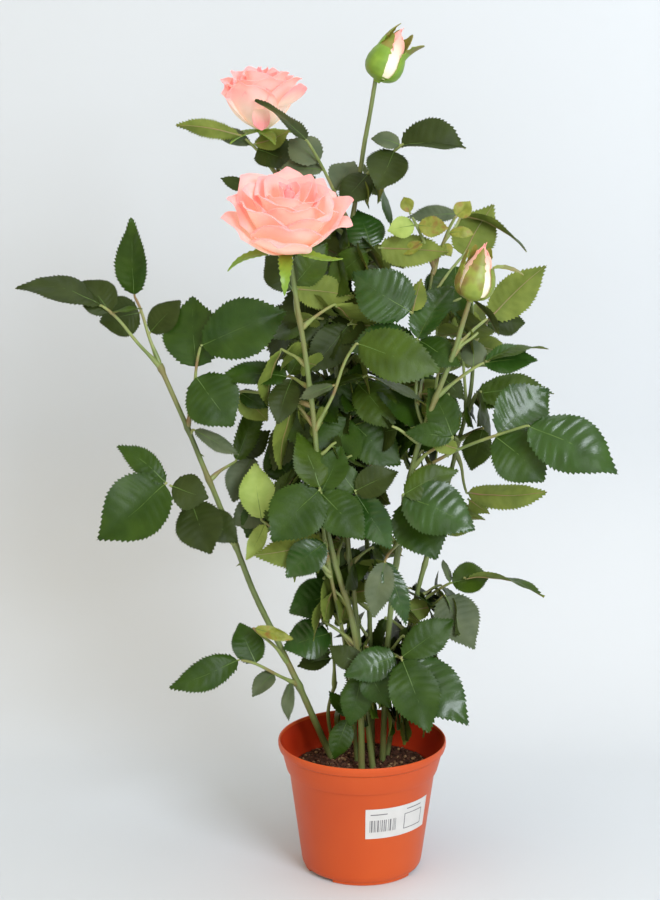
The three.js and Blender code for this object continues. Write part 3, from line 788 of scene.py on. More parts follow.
# The sprays that the CAD's masses of foliage stand for
SPRAYS = (
    Spray("left_tip_far", "cane_left", 396, (-189, -32, 445), 60, (
        Leaf(168, 63, 0, 0.47, 42, K, droop=52), Leaf(130, 32, 10, 0.86, 0, K),
        Leaf(8, 22, 9, 0.5, -62, M))),
    Spray("left_tip_up", "cane_left", 398, (-168, -6, 448), 80, (
        Leaf(92, 56, 0, 0.46, -18), Leaf(46, 32, 31, 0.74, -14, K), Leaf(194, 30, 14, 1.0, 0, K))),
    Spray("left_upper", "cane_left", 350, (-119, -26, 414), 75, (
        Leaf(93, 52, 20, 0.86, -4), Leaf(22, 66, -1, 0.64, 4, fold=10), Leaf(-53, 45, 26, 0.92))),
    Spray("left_inner", "cane_left", 310, (-96, 6, 321), 65, (
        Leaf(67, 58, 0, 0.3, 20, M), Leaf(-112, 38, -18, 0.64, 0, A), Leaf(46, 28, -8, 0.6, 10, K))),
    Spray("left_middle", "cane_left", 258, (-142, -40, 314), 60, (
        Leaf(-139, 64, -4, 0.74), Leaf(143, 46, -3, 0.4, 10), Leaf(-18, 28, 1, 0.95, 0, K),
        Leaf(-69, 42, 26, 0.84, 0, K), Leaf(-42, 33, 42, 0.7, 0, K))),
    Spray("left_low", "cane_left", 141, (-92, -15, 171), 60, (
        Leaf(-158, 56, -2, 0.42), Leaf(112, 34, 15, 0.72), Leaf(-132, 24, 34, 0.66, 20, A),
        Leaf(-92, 30, 62, 0.34, 20, A))),
    Spray("low_left", "cane_short_left", 132, (-24, 12, 184), 50, (
        Leaf(200, 38, 0, 0.84, 0, G), Leaf(182, 27, 22, 0.5, 0, K), Leaf(-165, 27, 28, 0.6, 10, K))),
    Spray("low_left_back", "cane_back_rose", 196, (-17, 26, 214), 55, (
        Leaf(205, 42, 0, 0.86, 0, G), Leaf(140, 30, 6, 0.6, 10), Leaf(15, 34, 8, 0.6, 180, M))),
    Spray("top_left", "cane_back_rose", 528, (-87, 26, 560), 55, (
        Leaf(170, 48, -5, 0.27, 160, M, droop=-46, fold=12), Leaf(157, 31, 8, 0.44, 0, A),
        Leaf(18, 30, 8, 0.6, 176, M, lift=14), Leaf(-25, 36, 12, 0.9, 0, K))),
    Spray("top_left_low", "cane_back_rose", 508, (-76, 24, 520), 60, (
        Leaf(156, 29, -3, 0.42, 20, K, droop=36),)),
    Spray("top_middle", "cane_tall_bud", 496, (-41, -8, 561), 55, (
        Leaf(138, 50, 0, 0.34, 30, K), Leaf(138, 29, 22, 0.92, 0, A), Leaf(178, 31, 28, 0.6, 10, A),
        Leaf(60, 28, 47, 0.86, 0, A))),
    Spray("top_right", "cane_tall_bud", 528, (28, -8, 559), 50, (
        Leaf(-2, 46, 4, 0.76, -22, K, droop=50, fold=20), Leaf(166, 21, 2, 0.8, 0, A),
        Leaf(-111, 36, 9, 0.84, 0, K), Leaf(-128, 34, 37, 0.7, 0, K))),
    Spray("young_tip", "shoot_young", 468, (35, -8, 506), 70, (
        Leaf(112, 12, -4, 0.85, 0, Y), Leaf(-168, 20, 8, 0.8, 0, P), Leaf(-150, 18, 24, 0.6, 20, Y),
        Leaf(-6, 22, 8, 0.7, 20, Y))),
    Spray("right_top", "shoot_young", 440, (74, 28, 473), 60, (
        Leaf(60, 48, 0, 0.68, 180, M), Leaf(-84, 44, 10, 0.56, 10), Leaf(-120, 34, 14, 0.7))),
    Spray("right_upper", "cane_right_back", 405, (95, 26, 427), 70, (
        Leaf(43, 58, 0, 0.52, 176, M), Leaf(3, 30, 7, 0.66, 0, K, lift=-12),
        Leaf(152, 26, 14, 0.86, 180, M))),
    Spray("right_middle_up", "cane_right_bud", 378, (85, -38, 404), 50, (
        Leaf(4, 39, 0, 0.66, 0, G), Leaf(13, 46, -3, 0.5, -46, M, droop=44), Leaf(88, 23, 8, 0.8, 0, A))),
    Spray("right_middle", "cane_right_back", 350, (87, 42, 366), 55, (
        Leaf(0, 58, 0, 0.5, 0, M), Leaf(14, 40, 8, 0.5, 0, M))),
    Spray("right_far", "cane_right_bud", 316, (117, -56, 362), 60, (
        Leaf(-30, 72, 0, 0.6, 0, G), Leaf(41, 51, 26, 0.8, 10, G), Leaf(-45, 48, 28, 0.84, -6),
        Leaf(160, 24, 58, 0.56, 176, M, lift=10))),
    Spray("right_low", "cane_right_back", 320, (81, 44, 287), 45, (
        Leaf(1, 61, 0, 0.37, 180, M), Leaf(-40, 20, -4, 0.6, 170, M))),
    Spray("right_edge", "cane_right_back", 197, (68, 22, 221), 30, (
        Leaf(-19, 62, -14, 0.32, -54, M, droop=40), Leaf(12, 30, 0, 0.8, 26, M, fold=16),
        Leaf(100, 24, 0, 0.32, 20, A))),
    Spray("right_lower", "cane_right_back", 176, (62, 14, 213), 60, (
        Leaf(-62, 47, -2, 0.76, 0, A), Leaf(-168, 24, 16, 0.7, 180, M))),
    Spray("low_right", "cane_right_bud", 168, (28, -36, 180), 65, (
        Leaf(-70, 57, -4, 0.64), Leaf(-45, 70, 0, 0.56, 0, G), Leaf(-160, 42, 10, 0.6, 0, G),
        Leaf(36, 48, 0, 0.54))),
    Spray("low_front", "cane_front_rose", 152, (2, -26, 171), 75, (
        Leaf(-60, 36, 0, 0.64), Leaf(-104, 42, 12, 0.56), Leaf(150, 30, 4, 0.6, 0, K))),
    Spray("low_inner", "cane_front_low", 112, (-11, -8, 122), 75, (
        Leaf(-108, 32, 0, 0.56), Leaf(125, 24, 0, 0.5, 30))),
    Spray("right_front", "cane_right_bud", 290, (28, -46, 308), 60, (
        Leaf(-27, 57, 0, 0.72, 0, G), Leaf(-62, 49, 22, 0.82), Leaf(24, 44, -2, 0.5, 0, M))),
    Spray("centre_front_right", "cane_right_bud", 258, (-6, -38, 308), 75, (
        Leaf(-58, 48, 0, 0.56, 20, G), Leaf(24, 34, -2, 0.66, 0, K), Leaf(130, 28, 2, 0.7))),
    Spray("centre_front", "cane_front_low", 260, (-32, -44, 312), 65, (
        Leaf(-132, 51, 0, 0.8), Leaf(112, 44, 0, 0.62, 20, M), Leaf(68, 38, 6, 0.6),
        Leaf(-48, 46, 4, 0.7))),
    Spray("centre_front_low", "cane_front_low", 248, (-28, -36, 270), 65, (
        Leaf(-137, 38, 0, 0.7, 0, G), Leaf(190, 52, 2, 0.5, 180, M))),
    Spray("pale_left", "cane_front_low", 240, (-76, -16, 281), 75, (
        Leaf(96, 42, 0, 0.64, 0, P), Leaf(-118, 30, 4, 0.42, 0, P), Leaf(64, 48, 8, 0.5, 0, M))),
    Spray("upper_front", "shoot_young", 408, (39, -26, 419), 55, (
        Leaf(-170, 49, 0, 0.62, 0, G), Leaf(-34, 36, -4, 0.66),
        Leaf(56, 50, -15, 0.56, -14, G, fold=12))),
    Spray("upper_glossy", "shoot_young", 420, (34, -32, 440), 70, (
        Leaf(145, 51, 0, 0.78, 0, G), Leaf(75, 25, 2, 0.6, 170, M))),
    Spray("rose_side", "cane_tall_bud", 470, (6, 0, 482), 60, (
        Leaf(108, 32, 0, 0.9, 0, G), Leaf(-4, 50, -6, 0.5, 180, M), Leaf(-140, 38, 4, 0.64, 0, M))),
    Spray("under_rose", "cane_front_rose", 436, (-52, -14, 456), 70, (
        Leaf(128, 32, 6, 0.8, 0, K), Leaf(52, 40, 0, 0.6, 0, M), Leaf(-8, 44, 2, 0.56, 180, M))),
    Spray("middle_left", "cane_front_rose", 386, (-55, -20, 391), 60, (
        Leaf(-177, 50, 0, 0.46, 20), Leaf(-106, 36, 4, 0.62, 10, K), Leaf(60, 34, 0, 0.6, 0, M))),
    Spray("middle_upper", "cane_tall_bud", 418, (-10, -8, 428), 65, (
        Leaf(-4, 32, 0, 0.8, 170, M), Leaf(-130, 46, 2, 0.6, 0, K), Leaf(60, 36, 0, 0.64, 180, M))),
    Spray("middle_right", "cane_tall_bud", 366, (2, -10, 390), 60, (
        Leaf(-28, 50, 0, 0.36, -60, A), Leaf(-54, 44, 14, 0.7, 0, M), Leaf(-158, 54, 2, 0.42, 40, M))),
    Spray("middle_low", "cane_tall_bud", 336, (-10, -8, 358), 70, (
        Leaf(-115, 44, 0, 0.8), Leaf(-170, 56, 4, 0.5, 0, M), Leaf(-42, 50, 4, 0.66),
        Leaf(80, 40, 0, 0.64))),
    Spray("heart_right", "cane_right_back", 330, (44, 22, 350), 60, compound(150, 48)),
    Spray("back_low_left", "cane_back_rose", 232, (-46, 74, 262), -40, compound(130, 52)),
    Spray("back_low_right", "cane_right_back", 232, (62, 90, 262), -40, compound(75, 46)),
    Spray("back_middle", "cane_back_rose", 306, (4, 92, 338), -50, compound(80, 58)),
    Spray("back_upper_left", "cane_back_rose", 372, (-76, 78, 414), -40, compound(130, 54)),
    Spray("back_upper_right", "cane_right_back", 352, (78, 90, 400), -40, compound(80, 46)),
    Spray("back_top", "cane_tall_bud", 430, (-2, 74, 474), -40, compound(90, 48)),
)

# Smaller sprays between them
TWIGS = (
    Spray("front_arch", "cane_front_rose", 352, (-6, -52, 421), 60, (
        Leaf(-19, 62, 0, 0.6, 6, M, droop=40), Leaf(-158, 26, 40, 0.5, 30, A))),
    Spray("gap_olive", "cane_front_rose", 372, (-92, -5, 377), 60, (
        Leaf(-47, 30, 0, 0.72, 180, M), Leaf(-30, 24, -1, 0.5, 20))),
    Spray("gap_dark", "cane_front_low", 262, (-53, 0, 308), 65, (
        Leaf(128, 30, 0, 0.84), Leaf(83, 25, 0, 0.42, 176, M))),
    Spray("under_pale", "cane_front_low", 236, (-73, -4, 290), 65, (
        Leaf(-150, 28, 0, 0.86, 0, A), Leaf(-116, 28, -2, 0.8))),
    Spray("left_light", "cane_left", 160, (-83, -10, 195), 60, (Leaf(-16, 30, 0, 0.34, 0, Y),)),
    Spray("left_hanging", "cane_left", 346, (-126, -14, 350), 60, (Leaf(-30, 38, 0, 0.36, -20, A),)),
    Spray("right_olive", "cane_right_back", 330, (91, 20, 344), 60, (Leaf(-106, 34, 0, 0.66, 0, M),)),
    Spray("right_teal", "cane_right_bud", 322, (65, -38, 349), 70, (
        Leaf(116, 40, 0, 0.62), Leaf(174, 34, 0, 0.5))),
    Spray("front_gloss", "cane_right_bud", 264, (16, -34, 255), 75, (
        Leaf(-101, 42, 0, 0.48, 0, A), Leaf(-72, 50, 0, 0.32, 0, G, lift=-8))),
    Spray("low_olive", "cane_front_rose", 212, (-30, 12, 228), 60, (Leaf(24, 40, 0, 0.7, 0, M),)),
    Spray("right_dark", "cane_right_bud", 372, (55, -10, 392), 60, (Leaf(-48, 27, 0, 0.62, 0, K),)),
    Spray("young_side", "shoot_young", 470, (66, -8, 506), 70, (
        Leaf(48, 15, 0, 0.9, 0, Y), Leaf(-4, 18, 16, 0.5, -20, Y, droop=60), Leaf(-62, 11, 24, 0.8, 0, Y))),
    Spray("right_top_arch", "shoot_young", 462, (74, 44, 503), 55, (
        Leaf(-34, 56, 0, 0.3, -66, A, droop=44), Leaf(184, 40, 0, 0.36, 0, A))),
)


@dataclass(frozen=True)
class Growth:
    """The rule by which a limb puts out more compound leaves, each turned on from the one below.

    Args:
        limb: The limb's node name.
        first: Height of the lowest stalk, in millimetres.
        last: Height of the highest.
        step: Rise from one stalk to the next.
        heading: Where the lowest stalk points, in degrees from +X towards +Y.
        length: Length of the end leaflets.
        tag: Added to the limb's name in the names of the sprays.
        turn_on: Turn from one stalk to the next, in degrees.
        faces: Least and greatest lean of a fan, in degrees. At -90 it hangs upright and looks outwards.
        reach: Least and greatest length of a stalk, in millimetres.
        front: Nearest y of a leaf, in millimetres.
    """

    limb: str
    first: float
    last: float
    step: float
    heading: float
    length: float = 48.0
    tag: str = ""
    turn_on: float = 137.5
    faces: tuple[float, float] = (-65.0, -30.0)
    reach: tuple[float, float] = (24.0, 38.0)
    front: float = -24.0


@dataclass(frozen=True)
class Crown:
    """Where the rule may put leaves: the crown's left and right side by height, and its depth.

    Args:
        sides: Height, left and right side, in millimetres.
        front: Nearest y of a leaf.
        rear: Farthest y.
        open_spots: Least and greatest x and z of the places kept open, in millimetres.
    """

    sides: tuple[tuple[float, float, float], ...] = (
        (84, -30, 48), (110, -36, 66), (150, -52, 84), (200, -46, 80), (240, -64, 78), (290, -84, 90),
        (350, -98, 112), (410, -84, 112), (440, -66, 104), (480, -52, 66), (520, -84, 44), (560, -90, 44),
        (590, -70, 20),
    )
    front: float = -24.0
    rear: float = 118.0
    open_spots: tuple[tuple[float, float, float, float], ...] = (
        (0, 54, 388, 408), (60, 86, 372, 402), (-18, 14, 242, 262), (72, 92, 436, 462),
        (64, 84, 300, 330), (68, 110, 262, 302), (-56, -24, 126, 166), (2, 38, 180, 214),
        (18, 66, 222, 268), (-74, -62, 344, 362), (78, 100, 366, 396), (-64, -42, 436, 458),
        (20, 44, 446, 476), (-34, -14, 152, 182), (-20, -8, 122, 148), (12, 30, 286, 308),
        (-78, -64, 330, 348),
    )

    def holds(self, point: np.ndarray) -> bool:
        """Tells whether a leaf may reach a point.

        Args:
            point: The point, in millimetres.

        Returns:
            True inside the crown and outside its open spots.
        """
        heights = [row[0] for row in self.sides]
        if not heights[0] <= point[2] <= heights[-1] or not self.front <= point[1] <= self.rear:
            return False
        left = float(np.interp(point[2], heights, [row[1] for row in self.sides]))
        right = float(np.interp(point[2], heights, [row[2] for row in self.sides]))
        if not left <= point[0] <= right:
            return False
        return not any(x0 < point[0] < x1 and z0 < point[2] < z1 for x0, x1, z0, z1 in self.open_spots)


GROWTHS = (
    Growth("cane_front_rose", 180, 440, 36, 160, 46),
    Growth("cane_tall_bud", 150, 500, 30, 60, 48),
    Growth("cane_back_rose", 130, 520, 34, 100, 48),
    Growth("cane_right_bud", 130, 420, 38, 20, 48),
    Growth("cane_right_back", 120, 400, 36, 70, 46),
    Growth("shoot_young", 370, 440, 30, 80, 40),
    Growth("cane_front_low", 120, 260, 40, 200, 40),
    *(Growth(limb, first, last, 24, heading, 44, tag="_side", turn_on=180, faces=(-88, -66), reach=(8, 22),
             front=-30)
      for limb, first, last, heading in (
          ("cane_tall_bud", 140, 530, 0), ("cane_right_bud", 120, 430, 0), ("cane_right_back", 110, 430, 0),
          ("cane_back_rose", 120, 540, 180), ("cane_front_rose", 120, 450, 180))),
)

# A grown compound leaf: how far back each leaflet stands, its share of the length, and its spread in degrees
GROWN_FAN = ((0, 1.0, 0), (5, 0.86, 62), (5, 0.86, -62), (22, 0.74, 72), (22, 0.74, -72))
# The dark tone among these is painted shade for leaves inside the crown
GROWN_TONES = (Tone.DEEP, Tone.DARK, Tone.MID, Tone.DARK)


def fan_axes(face: float, spin: float) -> tuple[np.ndarray, np.ndarray, np.ndarray]:
    """Axes of a fan of leaflets.

    Args:
        face: Where the fan looks: 0 up, 90 to the front, -90 to the back.
        spin: Its turn about Z, in degrees.

    Returns:
        The directions to its right, up in its plane, and out of its face.
    """
    tilt = math.radians(face)
    ahead = toward(spin + 90)
    up = ahead * math.cos(tilt) + UP * math.sin(tilt)
    return toward(spin), up, UP * math.cos(tilt) - ahead * math.sin(tilt)


def grow(rule: Growth, crown: Crown, seed: int) -> list[Spray]:
    """Grows a limb's extra sprays by its rule.

    Args:
        rule: The rule.
        crown: Where leaves may be.
        seed: Seed of the small differences.

    Returns:
        The sprays that keep two leaflets or more.
    """
    rng = random.Random(seed)
    limb = LIMBS[rule.limb]
    made = []
    height, heading, index = rule.first, rule.heading, 0
    while height <= rule.last:
        root = limb.curve(limb.share_at(height))
        heel = root + toward(heading) * rng.uniform(*rule.reach) + UP * rng.uniform(10, 20)
        face, spin = rng.uniform(*rule.faces), heading - 90
        right, up, _ = fan_axes(face, spin)
        leaves = []
        for back, share, spread in GROWN_FAN:
            bearing = 90 + spread + rng.uniform(-8, 8)
            length = rule.length * share * rng.uniform(0.85, 1.15)
            a = math.radians(bearing)
            tip = heel - unit(heel - root) * back + (right * math.cos(a) + up * math.sin(a)) * length
            if crown.holds(tip) and crown.holds((tip + heel) / 2):
                tone = rng.choice(GROWN_TONES)
                wide, turn = rng.uniform(0.58, 0.74), rng.uniform(-14, 14)
                leaves.append(Leaf(bearing, length, back, wide, turn, tone))
        if len(leaves) > 1:
            name = f"{rule.limb}{rule.tag}_{index}"
            made.append(Spray(name, rule.limb, height, tuple(heel), face, tuple(leaves), spin))
        height += rule.step * rng.uniform(0.85, 1.15)
        heading += rule.turn_on + rng.uniform(-12, 12)
        index += 1
    return made


@dataclass(frozen=True)
class Blade:
    """The die-cut, heat-pressed blade of a leaflet, as a grid over its length and width.

    Args:
        rows: Steps from base to tip.
        shares: Shares of the way from midrib to margin, one for each column.
        rib_rows: Steps from one pressed side vein to the next.
        thick: Thickness of the coated cloth, in millimetres.
        tooth: Depth of the margin's teeth, in millimetres.
        rib: Height of the cloth between pressed veins as a share of the leaf's length.
    """

    rows: int = 45
    shares: tuple[float, ...] = (0.0, 0.3, 0.6, 0.86, 1.0)
    rib_rows: int = 5
    thick: float = 0.5
    tooth: float = 1.15
    rib: float = 0.009

    @property
    def cols(self) -> int:
        """Columns from the midrib to a margin."""
        return len(self.shares) - 1

    def flat(self, length: float, width: float, belly: float = 0.0) -> tuple[np.ndarray, ...]:
        """The blade laid flat.

        Args:
            length: Its length, in millimetres.
            width: Its width.
            belly: How far its widest part moves from the base to the tip.

        Returns:
            Along and across each grid point in millimetres, its puffing from 0 to 1, its share of the way
            from the midrib to the margin, and its share of the length.
        """
        t = np.linspace(0, 1, self.rows + 1)[:, None]
        c = np.array([-v for v in reversed(self.shares[1:])] + list(self.shares))[None, :]
        a = np.abs(c)
        wide = np.sin(math.pi * t ** (0.82 + belly)).clip(0) ** (0.62 + 0.55 * t)
        wide = np.maximum(wide, 0.03 * (1 - t))
        vein_root = t - 0.12 * np.sin(math.pi * t)
        along = (vein_root + (t - vein_root) * a**1.25) * length
        across = c * wide * width / 2
        rows = np.arange(self.rows + 1)
        step = np.where(rows % 2 == 1, 0.7 + 0.6 * np.abs(np.sin(rows * 12.99)), -0.2)[:, None]
        margin = (a > 0.99) & (t > 0.05) & (t < 0.97)
        push = step * min(self.tooth, 0.024 * length)
        slope = np.gradient(wide[:, 0] * width / 2, t[:, 0] * length)[:, None]
        norm = np.sqrt(1 + slope**2)
        across = across + np.where(margin, np.sign(c) * push * (1 + 0.7 * slope) / norm, 0)
        along = along + np.where(margin, push * (0.7 - slope) / norm, 0)
        wave = np.abs(np.sin(math.pi * rows / self.rib_rows))[:, None]
        puff = (wave - 0.6) * np.sin(math.pi * a) ** 0.6 * wide**0.5
        return along, across, puff, np.broadcast_to(a, along.shape), np.broadcast_to(t, along.shape)

    def faces(self) -> tuple[list[tuple[int, ...]], list[tuple[int, ...]]]:
        """Faces of the upper and lower sheet, which share their rim.

        Returns:
            The faces of the upper sheet and those of the lower one.
        """
        rows, cols = self.rows + 1, 2 * self.cols + 1
        upper = np.arange(rows * cols).reshape(rows, cols)
        lower = upper.copy()
        inside = (rows - 2) * (cols - 2)
        lower[1:-1, 1:-1] = rows * cols + np.arange(inside).reshape(rows - 2, cols - 2)
        top, under = [], []
        for r in range(rows - 1):
            for k in range(cols - 1):
                here, beyond, across, beside = (r, k), (r + 1, k), (r + 1, k + 1), (r, k + 1)
                halves = ((here, beyond, across), (here, across, beside))
                if k >= self.cols:
                    halves = ((here, beyond, beside), (beyond, across, beside))
                for half in halves:
                    top.append(tuple(int(upper[p]) for p in reversed(half)))
                    under.append(tuple(int(lower[p]) for p in half))
        return top, under


FULL_BLADE = Blade()
INNER_BLADE = Blade(rows=32, shares=(0.0, 0.4, 0.8, 1.0), rib_rows=4)
SMALL_BLADE = Blade(rows=24, shares=(0.0, 0.45, 0.85, 1.0), rib_rows=4)
# Leaflets shorter than this take the small blade
SMALL_LEAF_MM = 30

# How the seeds of sprays, twigs and growths are kept apart
SPRAY_SEED_STEP, GROWTH_SEED_STEP = 1000, 77
FIRST_TWIG_SEED, FIRST_GROWN_SEED = 300, 500


@dataclass
class FoliageMaker:
    """Bends, turns and hangs the leaflets on their stalks, spray by spray.

    Args:
        seed: Seed of the small differences between leaflets.
        stalk_radius: Radius of a stalk, in millimetres.
        sheath_length: Length of the sheath by which it clasps the limb.
        sheath_radius: Radius of the sheath.
        petiolule: Length of a leaflet's own stem.
    """

    seed: int = SEED
    stalk_radius: float = 1.05
    sheath_length: float = 14.0
    sheath_radius: float = 2.0
    petiolule: float = 3.0

    def stalk_path(self, spray: Spray) -> Callable[[float], np.ndarray]:
        """The curve of a spray's stalk.

        Args:
            spray: The spray.

        Returns:
            A function from a share of the stalk to a point, in millimetres.
        """
        limb = LIMBS[spray.limb]
        root = limb.curve(limb.share_at(spray.height))
        end = np.array(spray.heel, float)
        middle = (root + end) / 2 + UP * np.linalg.norm(end - root) * 0.08
        return lambda s: root * (1 - s) ** 2 + middle * 2 * s * (1 - s) + end * s**2

    def bend(self, leaf: Leaf, blade: Blade,
             rng: random.Random) -> tuple[np.ndarray, np.ndarray, np.ndarray]:
        """Shapes a leaflet in its own frame: x along it, y across it, z up from its upper side.

        Args:
            leaf: The leaflet.
            blade: Its blade.
            rng: Source of its small differences.

        Returns:
            The upper sheet's points, the lower sheet's inner points, and the line of its midrib.
        """
        length, width = leaf.length, leaf.length * leaf.wide
        x, y, puff, share, t = blade.flat(length, width, rng.uniform(-0.06, 0.14))
        strong = 1.1 if leaf.tone is Tone.GLOSS else 0.7
        fold = math.tan(math.radians(rng.uniform(3, 13) + leaf.fold))
        cup = rng.uniform(-0.1, 0.2)
        z = puff * blade.rib * length * strong + np.abs(y) * fold - cup * y**2 / max(width, 1) * 2
        phase = [rng.uniform(0, 6.28) for _ in range(4)]
        edge = rng.uniform(0.012, 0.034) * length
        z = z + edge * share**2 * np.sin(t * 8 + phase[0] + np.sign(y) * 1.3)
        ripple = np.sin(t * 14 + phase[1] + 2.4 * y / width) * np.sin(y / width * 9 + phase[2])
        z = z + 0.008 * length * ripple
        twist = math.radians(rng.uniform(-20, 20)) * t
        y, z = y * np.cos(twist) - z * np.sin(twist), y * np.sin(twist) + z * np.cos(twist)
        sag = math.radians(leaf.droop + rng.uniform(-8, 8))
        bow = sag / length
        skew = rng.uniform(-0.07, 0.07) * length
        y = y + skew * np.sin(math.pi * t) * t
        half = blade.thick / 2
        shape = []
        rim = np.ones_like(x)
        rim[1:-1, 1:-1] = 0
        for side in (1, -1):
            height = z + side * half * (1 - rim)
            angle = bow * x
            bx = np.sin(angle) / bow + height * np.sin(angle)
            bz = -(1 - np.cos(angle)) / bow + height * np.cos(angle)
            shape.append(np.stack([bx, y, bz], -1))
        tip = shape[0][-1, blade.cols]
        reach = math.hypot(tip[0], tip[2])
        ca, sa = tip[0] / reach, tip[2] / reach
        fit = length / reach
        for grid in shape:
            gx, gz = grid[..., 0].copy(), grid[..., 2].copy()
            grid[..., 0] = (gx * ca + gz * sa) * fit
            grid[..., 2] = (-gx * sa + gz * ca) * fit
        middle = (shape[0][:, blade.cols] + shape[1][:, blade.cols]) / 2
        return shape[0].reshape(-1, 3), shape[1][1:-1, 1:-1].reshape(-1, 3), middle

    def hang(self, piece: Gathered, twigs: Gathered, spray: Spray, leaf: Leaf, blade: Blade,
             rng: random.Random) -> None:
        """Hangs one leaflet on its stalk, with its short stem and midrib.

        Args:
            piece: The spray's leaves.
            twigs: The spray's stalks.
            spray: The spray.
            leaf: The leaflet.
            blade: Its blade.
            rng: Source of its small differences.
        """
        path = self.stalk_path(spray)
        reach = float(np.linalg.norm(path(1.0) - path(0.0)))
        foot = path(max(0.15, 1 - leaf.back / reach))
        right, up, look = fan_axes(spray.face, spray.spin)
        a, lift = math.radians(leaf.heading), math.radians(leaf.lift)
        along = right * math.cos(a) + up * math.sin(a)
        along = unit(along * math.cos(lift) + look * math.sin(lift))
        normal = unit(look - along * (look @ along))
        normal = turn_about(normal, along, leaf.turn + rng.uniform(-4, 4))
        base = foot + along * self.petiolule * 0.5
        upper, inner, middle = self.bend(leaf, blade, rng)
        turned = np.stack([along, np.cross(normal, along), normal])
        points = np.concatenate([upper, inner]) @ turned + base
        top, under = blade.faces()
        start = piece.count
        piece.add(points, top, UPPER[leaf.tone])
        piece.cover(start, under, LOWER[leaf.tone])
        rib = middle[:: max(1, len(middle) // 9)] @ turned + base
        below = rib - normal * (blade.thick / 2 + 0.1)
        thin = np.linspace(0.62, 0.12, len(below)) * (0.6 + leaf.length / 120)
        skin = VEIN_UNDER if leaf.tone is not Tone.YOUNG else STALK_SKIN
        twigs.add(*tube(below, thin, 5), skin)
        above = rib[:-1] + normal * (blade.thick / 2 - 0.12)
        twigs.add(*tube(above, np.linspace(0.42, 0.1, len(above)), 4), VEIN_TOP)
        stem = np.array([foot, base, below[0], below[1]])
        twigs.add(*tube(stem, np.array([0.95, 0.85, 0.75, 0.5]), 6), STALK_SKIN)

    def stalk(self, twigs: Gathered, spray: Spray, rng: random.Random) -> None:
        """Makes a spray's stalk, with the flat sheath that clasps the limb.

        Args:
            twigs: The spray's stalks.
            spray: The spray.
            rng: Source of its small differences.
        """
        path = self.stalk_path(spray)
        length = float(np.linalg.norm(path(1.0) - path(0.0)))
        count = max(8, int(length / 3))
        shares = np.linspace(0, 1, count)
        sway = np.array([rng.uniform(-1, 1) for _ in range(3)]) * length * 0.03
        points = np.array([path(s) + sway * math.sin(math.pi * s) * math.sin(5 * s) for s in shares])
        from_root = shares * length
        sheath = min(self.sheath_length, length * 0.4)
        swell = np.clip(1 - from_root / sheath, 0, 1) ** 0.6
        radii = self.stalk_radius + 0.35 * (1 - shares)
        clasp = np.clip(from_root / 3 + 0.45, 0, 1)
        radii = radii + (self.sheath_radius - self.stalk_radius) * swell * clasp
        radii[-1] *= 0.8
        twigs.add(*tube(points, radii, 8), STALK_SKIN)

    def fill(self, leaves: Gathered, twigs: Gathered, spray: Spray, blade: Blade, index: int) -> None:
        """Adds one spray's leaves and stalks to their pieces.

        Args:
            leaves: The piece of leaves.
            twigs: The piece of stalks.
            spray: The spray.
            blade: The blade of its leaflets.
            index: Its place in the list, which seeds its differences.
        """
        rng = random.Random(self.seed * SPRAY_SEED_STEP + index)
        for leaf in spray.leaves:
            own = SMALL_BLADE if leaf.length < SMALL_LEAF_MM else blade
            self.hang(leaves, twigs, spray, leaf, own, rng)
        self.stalk(twigs, spray, rng)

    def finish(self, leaves: Gathered, twigs: Gathered, name: str, cloth: str = "leaf_cloth",
               node: str = "") -> None:
        """Makes the two pieces and puts them on the bush.

        Args:
            leaves: The piece of leaves.
            twigs: The piece of stalks.
            name: What the pieces are named after.
            cloth: Not used.
            node: The CAD node that the leaves replace, if any.
        """
        put(leaves.build("leaves_" + name), node)
        put(twigs.build("stalks_" + name))

    def build(self) -> None:
        """Makes every spray that a CAD node stands for."""
        for index, spray in enumerate(SPRAYS):
            leaves, twigs = Gathered(), Gathered()
            self.fill(leaves, twigs, spray, FULL_BLADE, index)
            cloth = "young_leaf_cloth" if spray.node.startswith("young") else "leaf_cloth"
            self.finish(leaves, twigs, spray.node, cloth, "foliage_" + spray.node)

    def build_grown(self) -> int:
        """Makes the smaller twigs, and the sprays that the limbs put out by rule.

        Returns:
            How many sprays there are.
        """
        count = 0
        leaves, twigs = Gathered(), Gathered()
        for index, spray in enumerate(TWIGS):
            self.fill(leaves, twigs, spray, FULL_BLADE, FIRST_TWIG_SEED + index)
        self.finish(leaves, twigs, "small_twigs")
        for order, rule in enumerate(GROWTHS):
            leaves, twigs = Gathered(), Gathered()
            for spray in grow(rule, Crown(front=rule.front), self.seed * GROWTH_SEED_STEP + order):
                self.fill(leaves, twigs, spray, INNER_BLADE, FIRST_GROWN_SEED + count)
                count += 1
            self.finish(leaves, twigs, f"grown_{rule.limb}{rule.tag}")
        return count


# ---------------------------------------------------------------- flowers


def shell(sheet: np.ndarray, thick: float) -> tuple[np.ndarray, Faces]:
    """Closes a grid of points into a thin sheet of cloth.

    Args:
        sheet: Rows of points.
        thick: Its thickness, in millimetres.

    Returns:
        Its vertices, first those of one side and then those of the other, and its faces.
    """
    rows, cols = sheet.shape[:2]
    normal = np.cross(np.gradient(sheet, axis=0), np.gradient(sheet, axis=1))
    normal /= np.maximum(np.linalg.norm(normal, axis=-1)[..., None], 1e-9)
    sides = [(sheet + sign * normal * thick / 2).reshape(-1, 3) for sign in (-1, 1)]
    return np.concatenate(sides), sheet_faces(rows, cols)


